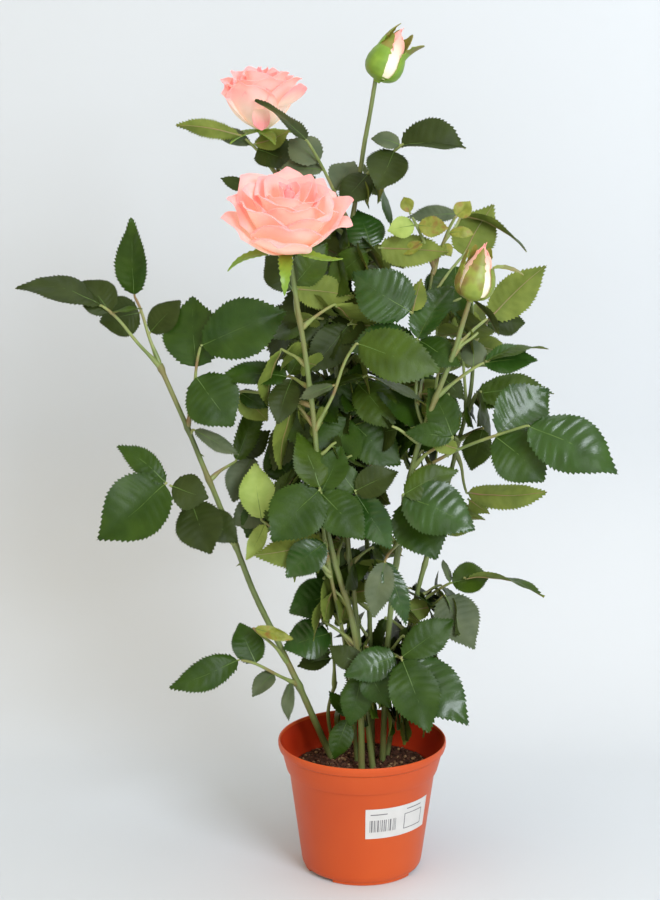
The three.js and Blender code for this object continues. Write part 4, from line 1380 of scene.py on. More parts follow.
@dataclass(frozen=True)
class PetalRing:
    """A ring of petals, each a strip of cloth that follows the flower's cup.

    Args:
        count: Petals in the ring.
        start: Distance of the claws from the axis, in millimetres.
        rise: Height of the claws above the base.
        length: Length of a petal.
        width: Width of a petal.
        angles: Lean from the axis at the claw, half way and at the lip, in degrees.
        roll: How far the lip rolls outwards, in degrees.
        spin: Turn of the ring about the axis, in degrees.
        dye_and_shade: Added to the value that picks its petals' dye and painted shade.
    """

    count: int
    start: float
    rise: float
    length: float
    width: float
    angles: tuple[float, float, float]
    roll: float
    spin: float
    dye_and_shade: float = 0.0


@dataclass(frozen=True)
class Sepal:
    """A narrow green sepal.

    Args:
        heading: Turn about the flower's axis, in degrees.
        length: Its length, in millimetres.
        width: Its width.
        angles: Lean from the axis at its root, half way and at its tip.
    """

    heading: float
    length: float
    width: float
    angles: tuple[float, float, float]


@dataclass
class Flower:
    """A rose on its cane: rings of petals, a calyx and sepals.

    Args:
        node: The CAD node it replaces.
        base: Its base, in millimetres.
        lean: Lean to the front, in degrees.
        aside: Lean to the right.
        rings: Its rings of petals.
        sepals: Its sepals.
        finish: The finish of its petals.
        green: The finish of its sepals.
        hip: Radius of the calyx.
        rows: Steps along a petal.
        cols: Steps across a petal.
        seed: Seed of its small differences.
    """

    node: str
    base: Point
    lean: float
    aside: float
    rings: tuple[PetalRing, ...]
    sepals: tuple[Sepal, ...]
    finish: Finish
    green: Finish = SEPAL
    hip: float = 5.0
    rows: int = 18
    cols: int = 15
    seed: int = SEED

    def place(self, points: np.ndarray) -> np.ndarray:
        """Turns and moves points from the flower's own frame to the bush's.

        Args:
            points: Points with +Z along the flower's axis.

        Returns:
            The placed points.
        """
        aside = Matrix.Rotation(math.radians(self.aside), 3, "Y")
        turn = aside @ Matrix.Rotation(math.radians(self.lean), 3, "X")
        return points @ np.array(turn).T + np.array(self.base)

    def profile(self, start: float, rise: float, length: float, angles: Sequence[float],
                roll: float) -> tuple[np.ndarray, np.ndarray, np.ndarray, np.ndarray]:
        """The line that a petal or sepal follows away from the axis.

        Args:
            start: Distance from the axis at its foot, in millimetres.
            rise: Height of its foot.
            length: Its length.
            angles: Lean from the axis at its foot, half way and at its end, in degrees.
            roll: How far its end rolls outwards.

        Returns:
            Shares of its length, and at each of them its distance, height and lean in radians.
        """
        steps = np.linspace(0, 1, 60)
        lean = np.radians(np.interp(steps, (0, 0.5, 1), angles))
        lean = np.convolve(np.pad(lean, 8, mode="edge"), np.ones(17) / 17, "valid")
        lean = lean + math.radians(roll) * np.clip((steps - 0.7) / 0.3, 0, 1) ** 1.4
        out = start + np.concatenate([[0], np.cumsum(np.sin(lean[:-1]))]) * length / 60
        high = rise + np.concatenate([[0], np.cumsum(np.cos(lean[:-1]))]) * length / 60
        return steps, out, high, lean

    def petal(self, piece: Gathered, ring: PetalRing, index: int, rng: random.Random) -> None:
        """Adds one petal.

        Args:
            piece: The flower's petals.
            ring: Its ring.
            index: Its place in the ring.
            rng: Source of its small differences.
        """
        v = np.linspace(0, 1, self.rows)[:, None]
        u = np.linspace(-1, 1, self.cols)[None, :]
        length = ring.length * rng.uniform(0.93, 1.05)
        width = ring.width * rng.uniform(0.93, 1.06)
        wide = np.sin(math.pi * (0.12 + 0.56 * v)) ** 0.8
        across = u * wide * width / 2
        top = 1 - 0.17 * np.abs(u) ** 2.2 + 0.06 * (1 - np.abs(u)) ** 3
        angles = [a + rng.uniform(-4, 4) for a in ring.angles]
        roll = ring.roll * rng.uniform(0.7, 1.2)
        steps, out, high, bow = self.profile(ring.start, ring.rise, length * 1.05, angles, roll)
        share = np.clip(v * top / 1.05, 0, 1)
        r, z, lean = (np.interp(share, steps, values) for values in (out, high, bow))
        edge = np.clip(np.abs(u) - 0.55, 0, 1) ** 2
        push = edge * 30 * v * rng.uniform(0.4, 1.2) * (ring.roll / 120) + 0.8 * u * v
        phase = rng.uniform(0, 6.28)
        push = push + 0.9 * v**2 * np.sin(u * 4.5 + phase) + 0.45 * v**3 * np.sin(u * 10 + phase * 2)
        r = r + push * np.cos(lean)
        z = z - push * np.sin(lean)
        grip = np.maximum(r, ring.start + 3.0) * (1.0 + 0.4 * np.clip(lean, 0, 1.6) ** 1.5)
        turn = math.radians(ring.spin + 360 * index / ring.count + rng.uniform(-7, 7))
        angle = turn + across / grip
        sheet = np.stack([r * np.cos(angle), r * np.sin(angle), z + 0 * u], -1)
        points, faces = shell(sheet, 0.3)
        # Low values give the deep coral of the claws, painted shade of the clefts; the second side of the
        # shell takes less of it
        dye_and_shade = np.clip(share * 0.98 + 0.16 * np.abs(u) ** 3 * v + ring.dye_and_shade, 0, 1).ravel()
        outer = np.clip(dye_and_shade * 0.8 + 0.2, 0, 1)
        piece.add(self.place(points), faces, self.finish, np.concatenate([dye_and_shade, outer]))

    def sepal(self, piece: Gathered, sepal: Sepal) -> None:
        """Adds one sepal.

        Args:
            piece: The flower's calyx.
            sepal: The sepal.
        """
        rows, cols = 19, 7
        v = np.linspace(0, 1, rows)[:, None]
        u = np.linspace(-1, 1, cols)[None, :]
        wide = np.maximum((v**0.35) * (1 - v) ** 0.85 * 1.75, 0.05)
        tooth = np.where(np.arange(rows) % 2 == 1, 1.18, 0.9)[:, None] * np.ones_like(u)
        wide = np.where(np.abs(u) > 0.9, wide * tooth, wide)
        steps, out, high, bow = self.profile(self.hip * 0.7, 1.0, sepal.length, sepal.angles, 0)
        r, z, lean = (np.interp(v, steps, values) for values in (out, high, bow))
        across = u * wide * sepal.width / 2
        cup = 0.22 * np.abs(across)
        r = r - cup * np.cos(lean)
        z = z + cup * np.sin(lean)
        away, side = toward(sepal.heading), toward(sepal.heading + 90)
        sheet = r[..., None] * away + across[..., None] * side + z[..., None] * UP
        points, faces = shell(sheet, 0.6)
        piece.add(self.place(points), faces, self.green)

    def calyx(self, piece: Gathered) -> None:
        """Adds the cup that the petals stand in."""
        heights = (-2.5, -1.0, 0.5, 2.0, 4.0, 6.0, 7.5)
        radii = np.array([0.4, 0.5, 0.75, 0.95, 1.0, 0.8, 0.4]) * self.hip
        points, faces = tube(axis_path(heights), radii, 18)
        piece.add(self.place(points), faces, self.green)

    def fill(self, petals: Gathered, calyx: Gathered) -> None:
        """Adds every petal and sepal.

        Args:
            petals: The flower's petals.
            calyx: Its calyx.
        """
        rng = random.Random(self.seed + len(self.node) * 31)
        for ring in self.rings:
            for index in range(ring.count):
                self.petal(petals, ring, index, rng)
        for sepal in self.sepals:
            self.sepal(calyx, sepal)
        self.calyx(calyx)

    def build(self) -> None:
        """Makes the petals and the calyx, and hides the CAD solid they stand for."""
        petals, calyx = Gathered(), Gathered()
        self.fill(petals, calyx)
        put(petals.build("petals_" + self.node, 70), self.node)
        put(calyx.build("calyx_" + self.node, 60))


@dataclass(frozen=True)
class BudSepal:
    """A sepal that hugs the bud and then leaves it.

    Args:
        heading: Turn about the bud's axis, in degrees.
        width: Its width at its widest, in millimetres.
        hugs: How high up the bud it lies against the petals, as a share of the bud's height.
        free: Length of the part beyond that.
        angles: Lean of that part from the axis where it leaves the bud and at its tip, in degrees.
    """

    heading: float
    width: float
    hugs: float
    free: float
    angles: tuple[float, float]


@dataclass
class Bud(Flower):
    """A bud: petals wrapped round each other, held by broad sepals.

    Args:
        height: Height of the bud, in millimetres.
        girth: Its greatest radius.
        wraps: Turn, span and height share of each wrapped petal.
        guards: Its sepals.
    """

    height: float = 42.0
    girth: float = 13.0
    wraps: tuple[tuple[float, float, float], ...] = (
        (0, 250, 1.0), (120, 230, 0.97), (240, 220, 0.93), (60, 180, 0.86), (190, 170, 0.84), (310, 160, 0.8),
    )
    guards: tuple[BudSepal, ...] = ()

    def radius(self, share: np.ndarray) -> np.ndarray:
        """The bud's radius at a share of its height."""
        places = (0, 0.04, 0.1, 0.2, 0.32, 0.46, 0.6, 0.74, 0.87, 0.96, 1.0)
        widths = (0.3, 0.62, 0.84, 0.98, 1.0, 0.9, 0.7, 0.46, 0.26, 0.12, 0.03)
        return np.interp(share, places, widths) * self.girth

    def fill(self, petals: Gathered, calyx: Gathered) -> None:
        """Adds the wrapped petals and the sepals.

        Args:
            petals: The bud's petals.
            calyx: Its calyx.
        """
        rows, cols = 26, 19
        v = np.linspace(0, 1, rows)[:, None]
        u = np.linspace(-1, 1, cols)[None, :]
        for layer, (turn, span, tall) in enumerate(self.wraps):
            top = tall * (1 - 0.3 * np.abs(u) ** 2.4)
            share = 0.05 + v * (top - 0.05)
            inset = 1.0 + 0.5 * layer - 0.9 * (u + 1) / 2
            r = np.maximum(self.radius(share) - 2.6 + inset * 0.5, 0.3)
            lip = np.clip((v - 0.8) / 0.2, 0, 1) ** 2 * (0.5 + 0.22 * layer)
            angle = math.radians(turn) + u * math.radians(span) / 2
            r = r + lip + 0 * u
            sheet = np.stack([r * np.cos(angle), r * np.sin(angle), share * self.height + 0 * u], -1)
            points, faces = shell(sheet, 0.4)
            dye_and_shade = np.clip(share * 1.0 - 0.06 + 0.25 * np.abs(u) ** 4 * v, 0, 1).ravel()
            petals.add(self.place(points), faces, self.finish, np.concatenate([dye_and_shade, dye_and_shade]))
        for guard in self.guards:
            self.guard(calyx, guard)
        radii = np.array([2.4, 2.8, 4.4, 7.0, 9.3, 10.0]) * self.girth / 13
        points, faces = tube(axis_path((-2.0, -0.8, 0.4, 1.6, 3.0, 4.4)), radii, 20)
        calyx.add(self.place(points), faces, self.green)

    def guard(self, piece: Gathered, guard: BudSepal) -> None:
        """Adds one sepal.

        Args:
            piece: The bud's calyx.
            guard: The sepal.
        """
        rows, cols = 27, 9
        hugged = self.height * guard.hugs
        total = hugged + guard.free
        v = np.linspace(0, 1, rows)
        travel = v * total
        on_bud = np.clip(travel / hugged, 0, 1)
        beyond = np.clip(travel - hugged, 0, None)
        lean = np.radians(np.interp(beyond / max(guard.free, 1), (0, 1), guard.angles))
        r = self.radius(on_bud * guard.hugs) + 0.5 + beyond * np.sin(lean)
        z = on_bud * hugged + beyond * np.cos(lean)
        wide = np.interp(v, (0, 0.06, 0.2, 0.45, 0.75, 0.92, 1), (0.5, 0.86, 1.0, 0.9, 0.45, 0.18, 0.03))
        u = np.linspace(-1, 1, cols)
        tooth = np.where((np.arange(rows) % 3 == 1) & (v > 0.5), 1.25, 1.0)
        across = u[None, :] * (wide * guard.width / 2)[:, None]
        across = np.where(np.abs(u)[None, :] > 0.9, across * tooth[:, None], across)
        grip = np.maximum(self.radius(np.clip(z / self.height, 0, 1)) + 0.6, 5.0)[:, None]
        angle = math.radians(guard.heading) + across / grip
        keel = r[:, None] + 0.5 * (1 - np.abs(u)[None, :]) * (1 - v[:, None])
        sheet = np.stack([keel * np.cos(angle), keel * np.sin(angle), z[:, None] + 0 * u[None, :]], -1)
        points, faces = shell(sheet, 0.6)
        body, tip = [], []
        for face in faces:
            row = max(i % (rows * cols) // cols for i in face)
            (body if row < 0.72 * (rows - 1) else tip).append(face)
        start = piece.count
        piece.add(self.place(points), body, self.green)
        piece.cover(start, tip, SEPAL_TIP)


# From the heart of a rose outwards
ROSE_RINGS = (
    PetalRing(3, 0.5, 8, 41, 20, (8, 2, -12), 10, 0, 0.1),
    PetalRing(3, 1.4, 7, 43, 28, (17, 6, -12), 24, 50, 0.05),
    PetalRing(3, 2.6, 6, 46, 44, (27, 12, -6), 50, 20),
    PetalRing(4, 3.4, 5, 50, 56, (36, 17, -2), 78, 55),
    PetalRing(4, 4.0, 4, 53, 60, (46, 22, 2), 96, 8),
    PetalRing(4, 4.6, 3, 55, 64, (56, 29, 6), 108, 48),
    PetalRing(4, 5.0, 2, 55, 62, (64, 35, 10), 112, 2),
    PetalRing(5, 5.0, 1, 52, 56, (74, 41, 18), 112, 54, -0.05),
)
CUP_RINGS = (
    PetalRing(3, 0.5, 8, 38, 18, (8, 2, -12), 12, 0, 0.1),
    PetalRing(3, 1.6, 7, 39, 30, (18, 6, -8), 26, 40, 0.05),
    PetalRing(3, 2.8, 6, 41, 40, (28, 9, -5), 44, 10),
    PetalRing(4, 3.8, 5, 43, 46, (40, 14, -4), 66, 60),
    PetalRing(4, 4.6, 4, 45, 50, (50, 18, -2), 84, 24),
    PetalRing(4, 5.0, 3, 47, 52, (57, 24, 2), 96, 70),
    PetalRing(1, 21.0, 20, 27, 32, (62, 46, 26), 16, -44, 0.2),
    PetalRing(1, 17.5, 22, 20, 24, (120, 150, 165), 5, -82, 0.25),
)


def rose_sepals(first: float, tips: Sequence[float], length: float) -> tuple[Sepal, ...]:
    """Five sepals turned out under an open rose.

    Args:
        first: Heading of the first, in degrees.
        tips: Lean of each tip from the axis.
        length: Their length, in millimetres.

    Returns:
        The sepals.
    """
    return tuple(
        Sepal(first + 72 * i, length - 3 * (i % 2), 11, (96, 96, tip)) for i, tip in enumerate(tips)
    )


# The open rose in front, the half open one behind it, and the two buds
FLOWERS = (
    Flower("bloom_front", (-56, -61, 489), 22, 3, ROSE_RINGS, rose_sepals(-88, (200, 66, 110, 150, 146), 42),
           PETAL, hip=6.0),
    Flower("bloom_back", (-75, 40, 564), 4, -2, CUP_RINGS, rose_sepals(0, (96, 120, 120, 130, 120), 30),
           PETAL_PALE, hip=5.5, seed=SEED + 5),
    Bud("bud_tall", (9.5, 5, 604), 0, 26, (), (), BUD_PETAL, seed=SEED + 1, height=41, girth=13.2, guards=(
        BudSepal(-126, 19, 0.74, 4, (4, 4)), BudSepal(165, 17, 0.55, 22, (-6, -22)),
        BudSepal(-20, 15, 0.5, 18, (14, 30)), BudSepal(30, 15, 0.62, 14, (6, 4)),
        BudSepal(95, 16, 0.6, 14, (0, -6)))),
    Bud("bud_right", (75, -50, 453), 4, 14, (), (), BUD_PETAL, SEPAL_OLIVE, seed=SEED + 2, height=42,
        girth=13.6, guards=(
            BudSepal(-100, 17, 0.84, 3, (-4, -10)), BudSepal(-168, 13, 0.4, 18, (2, -8)),
            BudSepal(-12, 13, 0.6, 22, (56, 86)), BudSepal(60, 15, 0.6, 12, (0, 0)),
            BudSepal(125, 15, 0.6, 12, (0, 0)))),
)


# ---------------------------------------------------------------- pot


class Cut(Enum):
    """What is cut into the pot's foot."""

    NOTCH = "notch"
    DRAIN = "drain"


@dataclass
class Pot:
    """The moulded nursery pot and its filling. Its sizes are in millimetres, and radii are of the outside.

    Args:
        height: Height of the pot.
        rim: Radius of the rim's band.
        lip: Height of the band.
        flare: How far the band stands out from the wall under it.
        skirt: Height of the step under the wide upper part.
        skirt_top: Height where the step has run out.
        body_top: Radius of the body under the step.
        base: Radius of the body at its foot.
        wall: Thickness of the wall.
        floor: Height of the inside's floor.
        foot: Radius of the ring that it stands on.
        foot_height: Height of that ring.
        notches: How many notches the ring has, each with a drain hole behind it.
        first_notch: Where the first notch is, in degrees.
        notch_width: Width of a notch.
        drain: Radius of a drain hole.
        drain_inset: How far a drain hole's middle lies inside the ring.
        reach: Depth of the cutters.
        sides: Steps round the pot.
        grains: How many loose grains lie on the filling.
        tan_share: Share of the grains that are tan.
        label_at: First and last angle in degrees, and lowest and highest z, of the sticker.
    """

    height: float = 103.0
    rim: float = 65.0
    lip: float = 8.0
    flare: float = 2.6
    skirt: float = 79.0
    skirt_top: float = 88.0
    body_top: float = 56.5
    base: float = 47.0
    wall: float = 1.5
    floor: float = 5.0
    foot: float = 44.5
    foot_height: float = 2.6
    notches: int = 3
    first_notch: float = -18.5
    notch_width: float = 27.0
    drain: float = 4.5
    drain_inset: float = 6.0
    reach: float = 20.0
    sides: int = 128
    grains: int = 1500
    tan_share: float = 0.16
    label_at: tuple[float, float, float, float] = (-88.0, -27.0, 41.5, 66.5)

    def outline(self) -> list[tuple[float, float]]:
        """The wall's outline, from the middle of the underside out, over the lip and down the inside.

        Returns:
            Radius and height of each corner, in millimetres.
        """
        w = self.wall
        outside = [
            (self.foot - 0.5, 0.0), (self.foot, 0.5), (self.foot, self.foot_height),
            (self.base - 1.8, self.foot_height), (self.base - 0.7, 4.4), (self.base, 8.0),
            (self.body_top, self.skirt), (self.body_top + 1.6, self.skirt + 0.5),
            (self.body_top + 2.0, self.skirt + 1.4), (self.body_top + 4, self.skirt_top),
            (self.rim - self.flare - 0.3, self.height - self.lip),
            (self.rim - 0.9, self.height - self.lip + 1.6), (self.rim - 0.15, self.height - 4.0),
            (self.rim, self.height - 2.4), (self.rim - 0.2, self.height - 0.7), (self.rim - 0.8, self.height),
        ]
        inside = [
            (self.rim - w, self.height - 0.5), (self.rim - w - 0.3, self.height - 2.4),
            (self.rim - self.flare - w, self.height - self.lip),
            (self.body_top + 4 - w, self.skirt_top), (self.body_top + 2 - w, self.skirt + 1.4),
            (self.body_top - w, self.skirt - 1), (self.base - w, 8.0), (self.base - 1.8 - w, self.floor),
        ]
        return outside + inside

    def shell(self) -> bpy.types.Object:
        """Draws the pot up from a circle, ring by ring, and cuts its notches and drains.

        Returns:
            The pot.
        """
        (radius, height), *rest = self.outline()
        deselect()
        bpy.ops.mesh.primitive_circle_add(
            vertices=self.sides, radius=radius * MM, fill_type="NGON", location=(0, 0, height * MM)
        )
        pot = bpy.context.object
        pot.name = "pot_shell"
        bpy.ops.object.transform_apply(location=True, rotation=True, scale=True)
        bpy.ops.object.mode_set(mode="EDIT")
        bpy.ops.mesh.select_mode(type="EDGE")
        bpy.ops.mesh.select_all(action="SELECT")
        bpy.ops.mesh.region_to_loop()
        for new_radius, new_height in rest:
            bpy.ops.mesh.extrude_edges_move(
                TRANSFORM_OT_translate={"value": (0, 0, (new_height - height) * MM)}
            )
            grown = new_radius / radius
            bpy.ops.transform.resize(value=(grown, grown, 1), center_override=(0, 0, new_height * MM))
            radius, height = new_radius, new_height
        bpy.ops.mesh.edge_face_add()
        bpy.ops.mesh.select_all(action="SELECT")
        bpy.ops.mesh.normals_make_consistent(inside=False)
        bpy.ops.object.mode_set(mode="OBJECT")
        for index in range(self.notches):
            for kind in Cut:
                self.cut(pot, self.first_notch + 360 / self.notches * index, kind)
        select_only(pot)
        bevel = pot.modifiers.new("edge", "BEVEL")
        bevel.width = 0.25 * MM
        bevel.segments = 2
        bevel.limit_method = "ANGLE"
        bevel.angle_limit = math.radians(50)
        bpy.ops.object.modifier_apply(modifier="edge")
        bpy.ops.object.shade_smooth_by_angle(angle=math.radians(28))
        return pot

    def cut(self, pot: bpy.types.Object, degrees: float, kind: Cut) -> None:
        """Cuts a notch or a drain hole into the foot.

        Args:
            pot: The pot.
            degrees: Where round the foot it is.
            kind: Which of the two it is.
        """
        deselect()
        turn, depth = math.radians(degrees), self.reach * MM
        if kind is Cut.NOTCH:
            spot = tuple(toward(degrees) * self.foot * MM)
            bpy.ops.mesh.primitive_cube_add(size=1, location=spot, rotation=(0, 0, turn))
            bpy.context.object.scale = (depth, self.notch_width * MM, 2 * self.foot_height * MM)
        else:
            spot = tuple(toward(degrees) * ((self.foot - self.drain_inset) * MM))
            radius = self.drain * MM
            bpy.ops.mesh.primitive_cylinder_add(vertices=32, radius=radius, depth=depth, location=spot)
        cutter = bpy.context.object
        bpy.ops.object.transform_apply(location=True, rotation=True, scale=True)
        select_only(pot)
        cut = pot.modifiers.new("cut", "BOOLEAN")
        cut.operation = "DIFFERENCE"
        cut.object = cutter
        bpy.ops.object.modifier_apply(modifier="cut")
        bpy.data.objects.remove(cutter, do_unlink=True)

    def dress(self, pot: bpy.types.Object) -> None:
        """Gives the outside its finish, and the inside its deeper, redder copy, which is painted light.

        Args:
            pot: The pot.
        """
        pot.data.materials.clear()
        pot.data.materials.append(POT_OUTSIDE.build())
        pot.data.materials.append(POT_INSIDE_PAINTED_LIGHT.build())
        for face in pot.data.polygons:
            x, y, z = face.center / MM
            level = self.floor - 0.5 < z < self.height - 1.5
            inward = face.normal.x * x + face.normal.y * y < 0
            face.material_index = int(level and (inward or math.hypot(x, y) < self.base - 4))

    def filling(self) -> bpy.types.Object:
        """Makes the plug of filling with its uneven top.

        Returns:
            The plug.
        """
        sides, rings = 96, 22
        slope = (self.body_top - self.base) / (self.skirt - 8)
        inset = self.wall + 0.6
        top = self.body_top - inset - slope * (self.skirt - SOIL_TOP)
        angles = [2 * math.pi * s / sides for s in range(sides)]
        points = []
        for r in range(1, rings + 1):
            fade = 1 - (r / rings) ** 6
            for a in angles:
                x, y = top * r / rings * math.cos(a), top * r / rings * math.sin(a)
                coarse, fine = (noise.noise(Vector((x, y, w)) * f) for w, f in ((0, 0.16), (9, 0.5)))
                points.append((x, y, SOIL_TOP - 0.2 + (coarse * 0.5 + fine * 0.3 + 0.2) * fade))
        bottom = self.floor + 0.3
        for radius, height in ((self.base - inset, 9.0), (self.base - 1.8 - inset, bottom)):
            points += [(radius * math.cos(a), radius * math.sin(a), height) for a in angles]
        points += [(0, 0, SOIL_TOP), (0, 0, bottom)]
        piece = Gathered()
        piece.add(np.array(points), ring_faces(rings + 2, sides, flip=True), FILLING)
        return piece.build("filling_plug", 60)

    def granules(self) -> bpy.types.Object:
        """Strews the loose grains over the filling.

        Returns:
            The joined grains.
        """
        rng = random.Random(SEED + 3)
        gold = (1 + math.sqrt(5)) / 2
        corners = np.array([
            (0, 1, gold), (0, -1, gold), (0, 1, -gold), (0, -1, -gold), (1, gold, 0), (-1, gold, 0),
            (1, -gold, 0), (-1, -gold, 0), (gold, 0, 1), (-gold, 0, 1), (gold, 0, -1), (-gold, 0, -1),
        ]) / math.hypot(1, gold)
        faces = [
            (0, 1, 8), (0, 8, 4), (0, 4, 5), (0, 5, 9), (0, 9, 1), (1, 6, 8), (8, 6, 10), (8, 10, 4),
            (4, 10, 2), (4, 2, 5), (5, 2, 11), (5, 11, 9), (9, 11, 7), (9, 7, 1), (1, 7, 6), (3, 6, 7),
            (3, 7, 11), (3, 11, 2), (3, 2, 10), (3, 10, 6),
        ]
        piece = Gathered([GRAIN_DARK, GRAIN_TAN])
        reach = self.body_top - self.wall - 2.5
        for _ in range(self.grains):
            radius, angle = reach * math.sqrt(rng.random()), rng.uniform(0, 2 * math.pi)
            size = rng.uniform(0.7, 1.7)
            squash = np.array([rng.uniform(0.7, 1.3), rng.uniform(0.7, 1.3), rng.uniform(0.6, 1.0)])
            height = SOIL_TOP + 0.4 + 0.4 * rng.random()
            spot = np.array((radius * math.cos(angle), radius * math.sin(angle), height))
            jitter = np.array([[rng.uniform(0.8, 1.15)] for _ in range(12)])
            points = corners * jitter * size * squash
            spin = np.array(Matrix.Rotation(rng.uniform(0, 6.28), 3, "Z"))
            finish = GRAIN_TAN if rng.random() < self.tan_share else GRAIN_DARK
            piece.add(points @ spin.T + spot, faces, finish)
        return piece.build("granules", 40)

    def radius_at(self, z: float) -> float:
        """The outer radius of the body at a height."""
        return self.base + (self.body_top - self.base) * (z - 8) / (self.skirt - 8)

    def patch(self, name: str, finish: Finish, spans: Sequence[tuple[float, float, float, float]],
              proud: float, thick: float) -> bpy.types.Object:
        """Lays thin patches on the body.

        Args:
            name: The piece's name.
            finish: Its finish.
            spans: First and last angle in degrees, and lowest and highest z in millimetres, of each patch.
            proud: How far the patches stand off the wall.
            thick: Their thickness.

        Returns:
            The joined patches.
        """
        piece = Gathered()
        levels = 4
        for first, last, low, high in spans:
            steps = max(2, int(abs(last - first) / 1.5) + 1)
            angles = np.radians(np.linspace(first, last, steps))
            heights = np.linspace(low, high, levels)
            sheets = []
            for off in (proud, proud + thick):
                radii = np.array([self.radius_at(z) + off for z in heights])[:, None]
                up = np.repeat(heights[:, None], steps, 1)
                grid = np.stack([radii * np.cos(angles), radii * np.sin(angles), up], -1)
                sheets.append(grid.reshape(-1, 3))
            piece.add(np.concatenate(sheets), sheet_faces(levels, steps, flip=True), finish)
        return piece.build(name, 40)

    def label(self) -> list[bpy.types.Object]:
        """The plain white sticker, with a row of bars and an empty frame.

        Returns:
            The paper and its print.
        """
        first, _, low, high = self.label_at
        paper = self.patch("label_paper", LABEL_PAPER, [self.label_at], 0.12, 0.14)
        bars = []
        rng = random.Random(SEED + 11)
        angle = first + 3.5
        while angle < first + 27:
            width = rng.choice((0.45, 0.8, 1.2))
            bars.append((angle, angle + width, low + 5.5, low + 15.5))
            angle += width + rng.choice((0.7, 1.0, 1.5))
        left, right, bottom, top = first + 34, first + 54, low + 4.5, low + 17.5
        box = [(left, right, bottom, bottom + 0.6), (left, right, top - 0.6, top),
               (left, left + 0.7, bottom, top), (right - 0.7, right, bottom, top)]
        rules = [(first + 4, first + 18, high - 5.2, high - 4.4),
                 (first + 36, first + 52, high - 4.2, high - 3.4)]
        return [paper, self.patch("label_print", LABEL_PRINT, bars + box + rules, 0.28, 0.05)]

    def build(self) -> None:
        """Makes the pot, its filling and its sticker."""
        pot = self.shell()
        self.dress(pot)
        put(pot, "pot")
        put(self.filling(), "soil")
        put(self.granules())
        for piece in self.label():
            put(piece)


# ---------------------------------------------------------------- studio


@dataclass(frozen=True)
class Lamp:
    """A soft box.

    Args:
        name: Its name.
        spot: Its place, in metres.
        aim: Where it points.
        size: Its side, in metres.
        power: Its power, in watts.
        colour: Its sRGB hex colour.
    """

    name: str
    spot: Point
    aim: Point
    size: float
    power: float
    colour: str


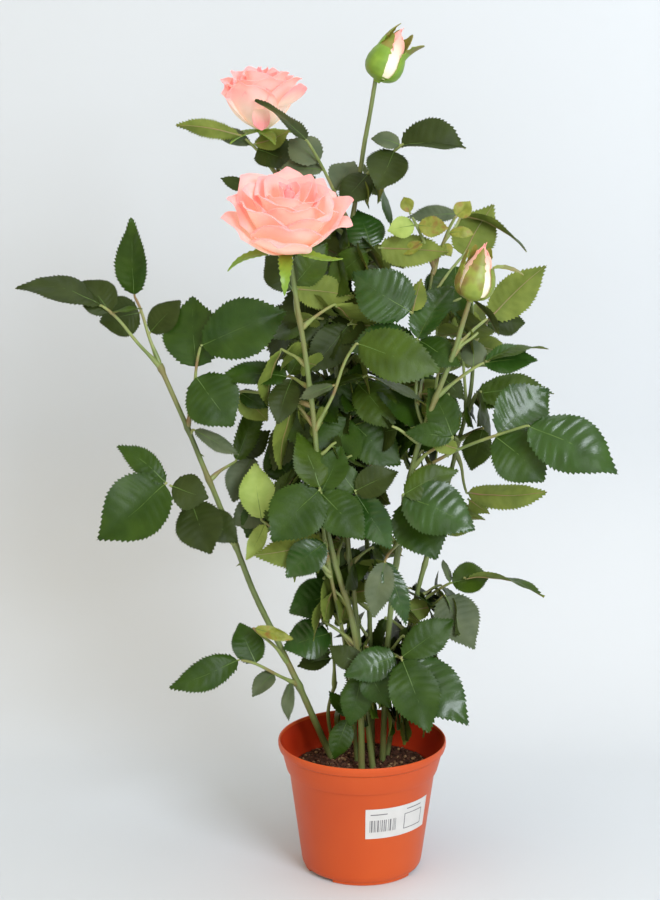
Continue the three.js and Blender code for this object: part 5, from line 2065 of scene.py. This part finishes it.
@dataclass
class Studio:
    """The backdrop, the lamps and the camera.

    Args:
        camera_place: Place of the camera, in metres.
        pitch: Its turn up from looking straight down, in degrees.
        lens: Its focal length, in millimetres.
        sensor: Width of its sensor.
        paper_width: Width of the backdrop, in metres, as the next four.
        paper_front: Where its front edge lies.
        paper_bend: Where it starts to turn up.
        paper_back: Where it stands upright.
        paper_top: Height of its upper edge.
        room_colour: The sRGB hex colour of the light from all round.
        room_light: Strength of that light.
        lamps: The soft boxes.
    """

    camera_place: Point = (-0.0248, -1.460, 0.663)
    pitch: float = 77.2
    lens: float = 80.0
    sensor: float = 36.0
    paper_width: float = 16.0
    paper_front: float = -8.0
    paper_bend: float = 0.2
    paper_back: float = 0.45
    paper_top: float = 3.5
    room_colour: str = "FFEDCC"
    room_light: float = 0.74
    lamps: tuple[Lamp, ...] = (
        Lamp("key", (1.0, -1.7, 1.25), (0, 0, 0.3), 0.9, 41, "ECF4FF"),
        Lamp("fill", (-1.7, -1.5, 1.2), (0, 0, 0.3), 1.6, 6, "FFF4E8"),
        Lamp("front", (-0.2, -2.3, 0.5), (0, 0, 0.4), 1.2, 7, "F6F9FF"),
        Lamp("top", (0.3, 0.0, 2.0), (0, 0, 0.2), 1.4, 12, "F0F6FF"),
    )

    def backdrop(self) -> None:
        """Sweeps a sheet of paper from the floor up behind the bush."""
        radius = self.paper_back - self.paper_bend
        arc = [(self.paper_bend + radius * math.sin(a), radius * (1 - math.cos(a)))
               for a in np.linspace(0, math.pi / 2, 14)]
        profile = [(self.paper_front, 0.0), (0.0, 0.0), *arc, (self.paper_back, self.paper_top)]
        side = self.paper_width / 2
        points = [(x / MM, y / MM, z / MM) for y, z in profile for x in (-side, side)]
        faces = [(2 * i, 2 * i + 1, 2 * i + 3, 2 * i + 2) for i in range(len(profile) - 1)]
        sheet = Gathered()
        sheet.add(np.array(points), faces, BACKDROP)
        self.open_back(BACKDROP.build())
        sheet.build("paper_backdrop", 40)

    def open_back(self, material: bpy.types.Material) -> None:
        """Lets the paper be looked through from its back, so that it never hides the bush.

        Args:
            material: The paper.
        """
        tree = material.node_tree
        back = add_node(tree, "ShaderNodeNewGeometry").outputs["Backfacing"]
        clear = add_node(tree, "ShaderNodeBsdfTransparent").outputs[0]
        paper = tree.nodes["Principled BSDF"].outputs[0]
        mix = add_node(tree, "ShaderNodeMixShader", {0: back, 1: paper, 2: clear})
        tree.links.new(mix.outputs[0], tree.nodes["Material Output"].inputs["Surface"])

    def light(self) -> None:
        """Hangs the lamps and sets the room's light."""
        for lamp in self.lamps:
            data = bpy.data.lights.new(lamp.name, "AREA")
            data.size = lamp.size
            data.energy = lamp.power
            data.color = linear(lamp.colour)[:3]
            box = bpy.data.objects.new(lamp.name, data)
            box.location = lamp.spot
            ahead = Vector(lamp.aim) - Vector(lamp.spot)
            box.rotation_euler = ahead.to_track_quat("-Z", "Y").to_euler()
            bpy.context.scene.collection.objects.link(box)
        world = bpy.data.worlds.new("room")
        world.use_nodes = True
        room = world.node_tree.nodes["Background"]
        room.inputs["Color"].default_value = linear(self.room_colour)
        room.inputs["Strength"].default_value = self.room_light
        bpy.context.scene.world = world
        bpy.context.scene.view_settings.view_transform = "Standard"

    def shoot(self) -> None:
        """Places the camera."""
        data = bpy.data.cameras.new("camera")
        data.lens = self.lens
        data.sensor_width = self.sensor
        camera = bpy.data.objects.new("camera", data)
        camera.location = self.camera_place
        camera.rotation_euler = (math.radians(self.pitch), 0, 0)
        bpy.context.scene.collection.objects.link(camera)
        bpy.context.scene.camera = camera

    def build(self) -> None:
        """Sets up the studio."""
        self.backdrop()
        self.light()
        self.shoot()


def main() -> None:
    """Builds the bush, piece by piece, and its studio."""
    logging.basicConfig(level=logging.INFO, format="%(name)s: %(message)s")
    # The noise vectors that kink the canes take their offsets from this seed, so every run is alike.
    noise.seed_set(SEED)
    Pot().build()
    log.info("pot, filling and sticker")
    knots: dict[str, list[float]] = {}
    for spray in SPRAYS:
        knots.setdefault(spray.limb, []).append(spray.height)
    CaneMaker(knots).build()
    log.info("%d canes and shoots", len(LIMBS))
    FoliageMaker().build()
    log.info("%d sprays of leaves", len(SPRAYS))
    log.info("%d grown sprays", FoliageMaker().build_grown())
    for flower in FLOWERS:
        flower.build()
        log.info("%s", flower.node)
    Studio().build()


if __name__ == "__main__":
    main()
